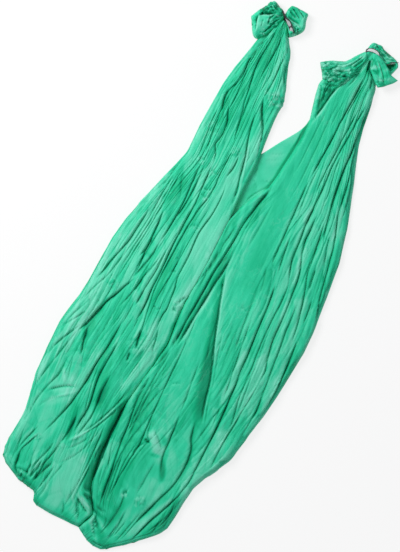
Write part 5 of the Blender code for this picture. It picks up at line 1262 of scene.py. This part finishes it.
def buildBundle(name, form, seed):
    # bunched cloth swept along its line, pleated along its length and rounded at its ends
    path = evenLine(roundedLine(form["line"], 3.0), form["rows"])
    centre = path[:, :3]
    way = np.gradient(centre, axis=0)
    way /= np.linalg.norm(way, axis=1, keepdims=True)
    side = np.cross(way, [0, 0, 1.0])
    side /= np.linalg.norm(side, axis=1, keepdims=True)
    up = np.cross(side, way)
    turn = np.linspace(0, 2 * math.pi, form["around"], endpoint=False)[None]
    run = runAlong(centre)[:, None]
    ends = roundRim(run + 0.6, form["endReach"]) * roundRim(run[-1] - run + 0.6, form["endReach"])
    flute = 0
    for k, (angle, depth, width) in enumerate(form["flutes"]):
        drift = 0.25 * np.sin(run / 31 + k * 1.7)
        gap = np.angle(np.exp(1j * (turn - math.radians(angle) - drift)))
        flute = flute + depth * np.exp(-np.abs(gap) / width)
    bulge = 1 + form["bulge"] * softNoise(turn * 1.3 + 0.004 * run, turn * 0 + run / 40, seed)
    c, s = np.cos(turn), np.sin(turn)
    cx = np.sign(c) * np.abs(c) ** form["square"] * (path[:, 3:4] / 2) * bulge
    cz = np.sign(s) * np.abs(s) ** form["square"] * (path[:, 4:5] / 2) * bulge
    keep = np.maximum(0.55, 1 - flute / np.maximum(np.hypot(cx, cz), 6)) * ends
    rings = centre[:, None] + side[:, None] * (cx * keep)[..., None] + up[:, None] * (cz * keep)[..., None]

    rows, around = rings.shape[:2]
    verts = spot(rings[..., 0], rings[..., 1], np.maximum(rings[..., 2], 0.2)).reshape(-1, 3)
    faces = tubeFaces(rows, around, False)
    first, last, lastRing = len(verts), len(verts) + 1, (rows - 1) * around
    for k in range(around):                     # small caps
        m = (k + 1) % around
        faces += [(first, k, m), (last, lastRing + m, lastRing + k)]
    verts = np.vstack([verts, verts[:around].mean(0), verts[-around:].mean(0)])
    steps = np.linalg.norm(np.diff(rings, axis=0), axis=-1).mean(1)
    along = np.r_[0, np.cumsum(steps)] * mm
    middle = rings[rows // 2]
    radius = np.linalg.norm(middle - middle.mean(0), axis=1).mean() * mm
    u = np.tile(np.arange(around) / around * 2 * math.pi * radius, rows)
    uv = np.vstack([np.stack([u, np.repeat(along, around)], 1), [[0, along[0]], [0, along[-1]]]])
    marks = {
        "creaseShade": np.r_[np.clip(flute / 7, 0, 1).ravel(), 0, 0],
        "litShadeTone": np.full(len(verts), 0.5),
        "gathered": np.ones(len(verts)),
    }
    return turnedOut(newPiece(name, verts, faces, "cloth", uv, marks))


web = buildPatch("crotch_web", webPiece, 51)
roll = buildPatch("left_roll_cloth", leftRoll, 61)
loop = buildPatch("left_loop_cloth", leftLoop, 67)
rollRight = buildPatch("right_roll_cloth", rightRoll, 71)
tail = buildPatch("right_tail_cloth", rightTail, 77)
bight = buildPatch("right_bight_cloth", rightBight, 83)
neck = buildBundle("right_neck_cloth", neckForm, 89)


print("stage: straps")

# a strap's line is x, y, z, tilt, breadth, and how much of its face is hidden by its black edge;
# its axis is the way that it faces across
leftStrapForm = {
    "line": [(-160, 1096, 26, 70, 0.45, 1), (-154, 1089, 44, 66, 0.5, 1), (-143, 1077, 51, 60, 0.6, 1),
             (-130, 1069, 52.5, 44, 0.8, 0.5), (-117, 1062, 52, 34, 0.95, 0),
             (-106, 1053, 51.5, 34, 0.95, 0), (-102, 1049, 51.5, 34, 0.95, 1),
             (-98, 1045, 51, 34, 0.95, 0), (-91, 1037, 49, 30, 0.95, 0), (-86, 1031, 40, 20, 0.95, 0.2),
             (-85, 1029, 22, 0, 1, 0), (-90, 1033, 7, 0, 1, 0), (-104, 1046, 3.4, 0, 1, 0),
             (-126, 1066, 3.4, 0, 1, 0), (-146, 1082, 4, 0, 0.9, 0), (-158, 1094, 10, 40, 0.6, 0.5)],
    "axis": (0.66, 0.75, 0.0), "closed": True, "width": 20.0, "thick": 2.2, "rings": 150,
}
rightStrapForm = {
    "line": [(214, 1088, 22, 20, 0.7, 0.6), (213, 1094, 40, 52, 0.6, 0.7), (222, 1102, 49, 42, 0.85, 0.1),
             (238, 1106, 52, 42, 0.9, 0), (254, 1104, 49.5, 48, 0.85, 0), (264, 1098, 40, 50, 0.7, 0.2),
             (266, 1092, 22, 20, 0.8, 0), (258, 1096, 6, 0, 1, 0), (240, 1100, 2.6, 0, 1, 0),
             (220, 1094, 6, 0, 1, 0)],
    "axis": (0.0, 1.0, 0.0), "closed": True, "width": 20.0, "thick": 2.2, "rings": 150,
}
eyeStrapForm = {
    "line": [(298, 1076, 22, 66, 0.95, 0), (308, 1083, 24, 66, 0.95, 0), (320, 1091, 25, 64, 0.95, 0),
             (332, 1098, 27, 64, 0.95, 0), (340, 1102, 24, 70, 0.95, 0.4), (344, 1104, 18, 70, 0.9, 1)],
    "axis": (-0.43, 0.9, 0.0), "closed": False, "width": 19.0, "thick": 2.2, "rings": 40,
}


def buildStrap(name, form):
    # flat webbing along its line, rounded at its edges and cupped where it is squeezed
    closed = form["closed"]
    path = roundedLine(form["line"], 2.0, closed)
    if closed:
        path = evenLine(np.vstack([path, path[:1]]), form["rings"] + 1)[:-1]
        way = np.roll(path[:, :3], -1, 0) - np.roll(path[:, :3], 1, 0)
    else:
        path = evenLine(path, form["rings"])
        way = np.gradient(path[:, :3], axis=0)
    centre = path[:, None, :3]
    way /= np.linalg.norm(way, axis=1, keepdims=True)
    axis = np.array(form["axis"]) / np.linalg.norm(form["axis"])
    side = axis - way * (way @ axis)[:, None]
    side /= np.linalg.norm(side, axis=1, keepdims=True)
    out = np.cross(way, side)
    tilt = np.radians(path[:, 3])[:, None]
    across = (side * np.cos(tilt) + out * np.sin(tilt))[:, None]
    face = (-side * np.sin(tilt) + out * np.cos(tilt))[:, None]
    share = np.linspace(-1, 1, 13)
    s = np.r_[share, share[::-1]][:, None]      # over the upper face and back along the under one
    half = form["thick"] / 2 * np.repeat([1.0, -1.0], len(share))[:, None]
    rounded = 0.35 + 0.65 * np.sqrt(np.maximum(0.0, 1 - np.abs(s) ** 8))
    breadth = path[:, 4, None, None]
    cup = (1 - breadth) * 5.0
    rings = centre + across * s * (form["width"] / 2 * breadth) + face * (half * rounded - cup * s * s)

    rows, around = rings.shape[:2]
    verts = spot(rings[..., 0], rings[..., 1], np.maximum(rings[..., 2], 0.15)).reshape(-1, 3)
    faces = tubeFaces(rows, around, closed)
    if not closed:
        faces += [list(range(around)), list(range((rows - 1) * around, rows * around))[::-1]]
    uv = np.stack([np.tile((s[:, 0] + 1) / 2, rows), np.repeat(runAlong(path[:, :3]) * mm, around)], 1)
    marks = {"blackShare": np.repeat(path[:, 5], around)}
    return turnedOut(newPiece(name, verts, faces, "tape", uv, marks))


leftStrap = buildStrap("left_strap_tape", leftStrapForm)
rightStrap = buildStrap("right_strap_tape", rightStrapForm)
eyeStrap = buildStrap("eye_strap_tape", eyeStrapForm)


print("stage: finishes")


def fill(tree, node, sockets):
    # sets each named socket to a value, or links another node's output to it
    for key, value in sockets.items():
        if isinstance(value, bpy.types.NodeSocket):
            tree.links.new(value, node.inputs[key])
        else:
            node.inputs[key].default_value = value
    return node


def addNode(tree, kind, sockets=None, **settings):
    node = tree.nodes.new(kind)
    for key, value in settings.items():
        setattr(node, key, value)
    return fill(tree, node, sockets or {})


def mathNode(tree, how, a, b=None, c=None, clamp=False):
    sockets = {n: value for n, value in enumerate((a, b, c)) if value is not None}
    return addNode(tree, "ShaderNodeMath", sockets, operation=how, use_clamp=clamp).outputs[0]


def mixColour(tree, factor, a, b):
    return addNode(tree, "ShaderNodeMix", {0: factor, 6: a, 7: b}, data_type="RGBA").outputs[2]


def noiseNode(tree, vector, scale, detail, stretch=None, turned=0.0):
    # noise from 0 to 1, with more of it across than along where stretch is given
    if stretch:
        lay = {0: vector, "Scale": stretch, "Rotation": (0.0, 0.0, turned)}
        vector = addNode(tree, "ShaderNodeMapping", lay).outputs[0]
    sockets = {"Vector": vector, "Scale": scale, "Detail": detail}
    return addNode(tree, "ShaderNodeTexNoise", sockets).outputs[0]


def markNode(tree, name):
    return addNode(tree, "ShaderNodeAttribute", attribute_name=name).outputs["Fac"]


def makeKnitGroup():
    # knitted tricot: fine ribs of stitches along the cloth, with their small unevenness
    group = bpy.data.node_groups.new("tricotKnit", "ShaderNodeTree")
    for label, way, kind in (("Vector", "INPUT", "Vector"), ("Rib", "INPUT", "Float"),
                             ("Height", "OUTPUT", "Float"), ("Tone", "OUTPUT", "Float")):
        group.interface.new_socket(name=label, in_out=way, socket_type="NodeSocket" + kind)
    come, go = addNode(group, "NodeGroupInput"), addNode(group, "NodeGroupOutput")
    vector, rib = come.outputs["Vector"], come.outputs["Rib"]
    split = addNode(group, "ShaderNodeSeparateXYZ", {0: vector})
    ribs = mathNode(group, "DIVIDE", split.outputs[0], mathNode(group, "DIVIDE", rib, 6.2832))
    rows = mathNode(group, "DIVIDE", split.outputs[1], mathNode(group, "DIVIDE", rib, 4.4))
    ribs, rows = mathNode(group, "SINE", ribs), mathNode(group, "SINE", rows)
    stitch = mathNode(group, "MULTIPLY_ADD", rows, 0.35, ribs)
    uneven = noiseNode(group, vector, 260.0, 3.0)
    fill(group, go, {"Height": mathNode(group, "MULTIPLY_ADD", stitch, 0.5, uneven), "Tone": uneven})
    return group


knitGroup = makeKnitGroup()

tricotLook = {
    # middle is the plain colour; pale, glint and deep are painted light, painted highlight and painted
    # shade, crease is the painted shade in the creases, and the pressed lines are painted highlights
    "middle": (0.030, 0.610, 0.345, 1), "pale": (0.150, 0.690, 0.470, 1), "deep": (0.0, 0.440, 0.205, 1),
    "glint": (0.270, 0.760, 0.590, 1), "crease": (0.0, 0.130, 0.060, 1), "creaseShare": 0.80,
    "cloudShare": 0.30, "pressedShare": 0.3, "rib": 0.0008, "roughness": 0.50,
    "sheen": 0.04, "sheenTint": (0.4, 1.0, 0.8, 1), "wrinkle": 0.0016, "knit": 0.00012,
    # how fine the streaks, the pressed lines and the wrinkles are across and along the cloth
    "streak": (48.0, 5.0, 1.0), "pressed": (26.0, 13.0, 1.0), "wrinkles": (150.0, 22.0, 1.0),
}


def clothMaterial(name, look):
    material = bpy.data.materials.new(name)
    material.use_nodes = True
    tree = material.node_tree
    uv = addNode(tree, "ShaderNodeUVMap", uv_map="cloth").outputs[0]
    place = addNode(tree, "ShaderNodeTexCoord").outputs["Object"]
    knit = addNode(tree, "ShaderNodeGroup", node_tree=knitGroup)
    fill(tree, knit, {"Vector": uv, "Rib": look["rib"]})
    cloud = noiseNode(tree, place, 7.0, 2.0)
    streak = noiseNode(tree, uv, 1.0, 3.0, look["streak"])
    tone = mathNode(tree, "MULTIPLY_ADD", cloud, 0.6, mathNode(tree, "MULTIPLY", streak, 0.4))
    tone = mathNode(tree, "MULTIPLY_ADD", mathNode(tree, "SUBTRACT", tone, 0.5), 2.4, 0.5, clamp=True)
    # painted light and shade: satin faces turned to the light are painted paler, with a painted glint on
    # the palest, and those turned away are painted deeper
    share = look["cloudShare"]
    shift = mathNode(tree, "MULTIPLY_ADD", tone, -share, share / 2 - 0.07)
    litShadeTone = mathNode(tree, "ADD", markNode(tree, "litShadeTone"), shift)
    pale = mathNode(tree, "MULTIPLY_ADD", litShadeTone, -2.0, 1.0, clamp=True)
    far = mathNode(tree, "MULTIPLY_ADD", litShadeTone, 2.0, -1.0, clamp=True)
    glint = mathNode(tree, "MULTIPLY_ADD", litShadeTone, -3.0, 0.12, clamp=True)
    colour = mixColour(tree, pale, look["middle"], look["pale"])
    colour = mixColour(tree, far, colour, look["deep"])
    colour = mixColour(tree, glint, colour, look["glint"])
    # faint painted highlights along thin pressed lines, in some places only
    pressed = noiseNode(tree, uv, 1.0, 2.0, look["pressed"], 0.35)
    gap = mathNode(tree, "ABSOLUTE", mathNode(tree, "SUBTRACT", pressed, 0.5))
    thin = mathNode(tree, "MULTIPLY_ADD", gap, -38.0, 1.0, clamp=True)
    thin = mathNode(tree, "MULTIPLY", thin, mathNode(tree, "MULTIPLY_ADD", cloud, 5.0, -2.3, clamp=True))
    colour = mixColour(tree, mathNode(tree, "MULTIPLY", thin, look["pressedShare"]), colour, look["pale"])
    # painted shade: creases are darkened toward the crease colour
    crease = mathNode(tree, "MULTIPLY", markNode(tree, "creaseShade"), look["creaseShare"], clamp=True)
    wrinkle = noiseNode(tree, uv, 1.0, 4.0, look["wrinkles"])
    wrinkle = mathNode(tree, "MULTIPLY", wrinkle, markNode(tree, "gathered"))
    coarse = addNode(tree, "ShaderNodeBump", {
        "Height": wrinkle, "Strength": 0.55, "Distance": look["wrinkle"]})
    fine = addNode(tree, "ShaderNodeBump", {
        "Height": knit.outputs["Height"], "Strength": 0.5, "Distance": look["knit"],
        "Normal": coarse.outputs[0]})
    fill(tree, tree.nodes["Principled BSDF"], {
        "Base Color": mixColour(tree, crease, colour, look["crease"]),
        "Roughness": mathNode(tree, "MULTIPLY_ADD", knit.outputs["Tone"], 0.16, look["roughness"] - 0.08),
        "Specular IOR Level": 0.14, "Sheen Weight": look["sheen"], "Sheen Roughness": 0.4,
        "Sheen Tint": look["sheenTint"], "Normal": fine.outputs[0]})
    return material


# the weft's grey is painted shade: white webbing drawn grey where it lies in shade; the white tape is the
# same webbing in the light
tapeLook = {
    "weft": (0.44, 0.47, 0.48, 1), "edge": (0.006, 0.006, 0.007, 1), "edgeShare": 0.16,
    "rib": 0.0011, "warps": 16, "roughness": 0.62,
}


def tapeMaterial(name, look):
    # woven tape: fine cross ribs, with a black selvedge along both edges
    material = bpy.data.materials.new(name)
    material.use_nodes = True
    tree = material.node_tree
    uv = addNode(tree, "ShaderNodeUVMap", uv_map="tape").outputs[0]
    split = addNode(tree, "ShaderNodeSeparateXYZ", {0: uv})
    away = mathNode(tree, "ABSOLUTE", mathNode(tree, "SUBTRACT", split.outputs[0], 0.5))
    reach = mathNode(tree, "MULTIPLY_ADD", markNode(tree, "blackShare"), 0.5, away)
    black = mathNode(tree, "GREATER_THAN", reach, 0.5 - look["edgeShare"])
    ribs = mathNode(tree, "MULTIPLY", split.outputs[1], 6.2832 / look["rib"])
    warp = mathNode(tree, "MULTIPLY", split.outputs[0], 6.2832 * look["warps"])
    weave = mathNode(tree, "MULTIPLY", mathNode(tree, "SINE", ribs), mathNode(tree, "SINE", warp))
    uneven = noiseNode(tree, addNode(tree, "ShaderNodeTexCoord").outputs["Object"], 90.0, 2.0)
    uneven = mathNode(tree, "MULTIPLY_ADD", uneven, 0.3, 0.72)
    tone = mathNode(tree, "MULTIPLY_ADD", weave, 0.12, uneven, clamp=True)
    shaded = tuple(0.6 * v for v in look["weft"][:3]) + (1,)
    face = mixColour(tree, tone, shaded, look["weft"])
    bump = addNode(tree, "ShaderNodeBump", {"Height": weave, "Strength": 0.6, "Distance": 0.0003})
    fill(tree, tree.nodes["Principled BSDF"], {
        "Base Color": mixColour(tree, black, face, look["edge"]), "Roughness": look["roughness"],
        "Normal": bump.outputs[0]})
    return material


tricot = clothMaterial("mintTricot", tricotLook)
webLook = {**tricotLook, "middle": (0.055, 0.620, 0.375, 1), "wrinkle": 0.0006}
webTricot = clothMaterial("mintTricotSmooth", webLook)
shadedWhiteTape = tapeMaterial("shadedWhiteTape", tapeLook)
whiteTape = tapeMaterial("whiteTape", {**tapeLook, "weft": (0.86, 0.87, 0.88, 1), "edgeShare": 0.13})

for piece in (leftUpper, leftLower, rightUpper, rightLower, roll, loop, rollRight, tail, bight, neck):
    piece.data.materials.append(tricot)
web.data.materials.append(webTricot)
leftStrap.data.materials.append(shadedWhiteTape)
rightStrap.data.materials.append(whiteTape)
eyeStrap.data.materials.append(shadedWhiteTape)


print("stage: bodies")

for piece in (leftLower, rightLower):
    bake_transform(piece)
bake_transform(leftUpper)
for piece in (rightUpper, web):
    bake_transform(piece)
for piece in (roll, loop, leftStrap):
    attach(piece, "left_end")
for piece in (rollRight, bight, neck, rightStrap, eyeStrap):
    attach(piece, "right_end")
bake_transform(tail)

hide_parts("seat_left_lobe", "seat_back")
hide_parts("seat_right_lobe", "pouch_right_front")
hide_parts("pouch_left_front", "left_leg")
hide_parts("right_leg")
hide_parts("right_leg_web", "pouch_back")
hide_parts("left_knot_roll")
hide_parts("left_knot_loop")
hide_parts("left_webbing")
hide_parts("right_knot_roll")
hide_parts("right_knot_bight")
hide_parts("right_knot_neck")
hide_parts("right_webbing")
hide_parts("right_eye_strap")
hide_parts("right_knot_tail")


print("stage: floor, light and camera")

studio = {
    "floorSize": 14.0, "floorWhite": (0.86, 0.86, 0.86, 1), "floorGlow": 0.78, "floorDrop": 0.0004,
    "skyWhite": (0.97, 0.98, 1.0, 1), "skyPower": 0.42,
    "keyPower": 142.0, "keyPlace": (-2.8, 1.1, 3.0), "fillPower": 10.0, "fillPlace": (2.8, -1.5, 3.0),
    "lampSize": 1.6, "cameraHeight": 9.0, "viewHeight": 2.208, "tilt": 25.5, "sensor": 36.0,
    "clipEnd": 60.0,
}


def whiteWhereSeen(tree, output, plain, white, share=1.0):
    # the camera, gloss and glass see white in place of the plain shader, and the light sees the plain one
    path = addNode(tree, "ShaderNodeLightPath")
    gloss = mathNode(tree, "MAXIMUM", path.outputs["Is Glossy Ray"], path.outputs["Is Transmission Ray"])
    seen = mathNode(tree, "MAXIMUM", path.outputs["Is Camera Ray"], gloss)
    if share < 1:
        seen = mathNode(tree, "MULTIPLY", seen, share)
    mix = addNode(tree, "ShaderNodeMixShader", {0: seen, 1: plain.outputs[0], 2: white.outputs[0]})
    addNode(tree, output, {0: mix.outputs[0]})


bpy.ops.object.select_all(action="DESELECT")
bpy.ops.mesh.primitive_plane_add(size=studio["floorSize"], location=(0, 0, -studio["floorDrop"]))
floor = bpy.context.object
floor.name = "floor"
floorWhite = bpy.data.materials.new("floorWhite")
floorWhite.use_nodes = True
tree = floorWhite.node_tree
tree.nodes.clear()
diffuse = addNode(tree, "ShaderNodeBsdfDiffuse", {"Color": studio["floorWhite"]})
glow = addNode(tree, "ShaderNodeEmission", {"Color": (1, 1, 1, 1)})
whiteWhereSeen(tree, "ShaderNodeOutputMaterial", diffuse, glow, studio["floorGlow"])
floor.data.materials.append(floorWhite)

world = bpy.data.worlds.new("studio")
bpy.context.scene.world = world
world.use_nodes = True
tree = world.node_tree
tree.nodes.clear()
sky = addNode(tree, "ShaderNodeBackground", {"Color": studio["skyWhite"], "Strength": studio["skyPower"]})
backdrop = addNode(tree, "ShaderNodeBackground", {"Strength": 1.0})
whiteWhereSeen(tree, "ShaderNodeOutputWorld", sky, backdrop)


def addLamp(name, place, power):
    bpy.ops.object.light_add(type="AREA", location=place)
    lamp = bpy.context.object
    lamp.name = name
    lamp.data.energy = power
    lamp.data.size = studio["lampSize"]
    lamp.rotation_euler = (-Vector(place)).to_track_quat("-Z", "Y").to_euler()


addLamp("keyLamp", studio["keyPlace"], studio["keyPower"])
addLamp("fillLamp", studio["fillPlace"], studio["fillPower"])

lens = bpy.data.cameras.new("camera")
camera = bpy.data.objects.new("camera", lens)
bpy.context.scene.collection.objects.link(camera)
bpy.context.scene.camera = camera
lens.sensor_width = studio["sensor"]
lens.lens = studio["sensor"] * studio["cameraHeight"] / studio["viewHeight"]
lens.clip_end = studio["clipEnd"]
camera.location = Vector(spot(0, 0, 0)) + Vector((0, 0, studio["cameraHeight"]))
camera.rotation_euler = (0, 0, math.radians(studio["tilt"]))
bpy.context.scene.view_settings.view_transform = "Standard"

print("stage: done")
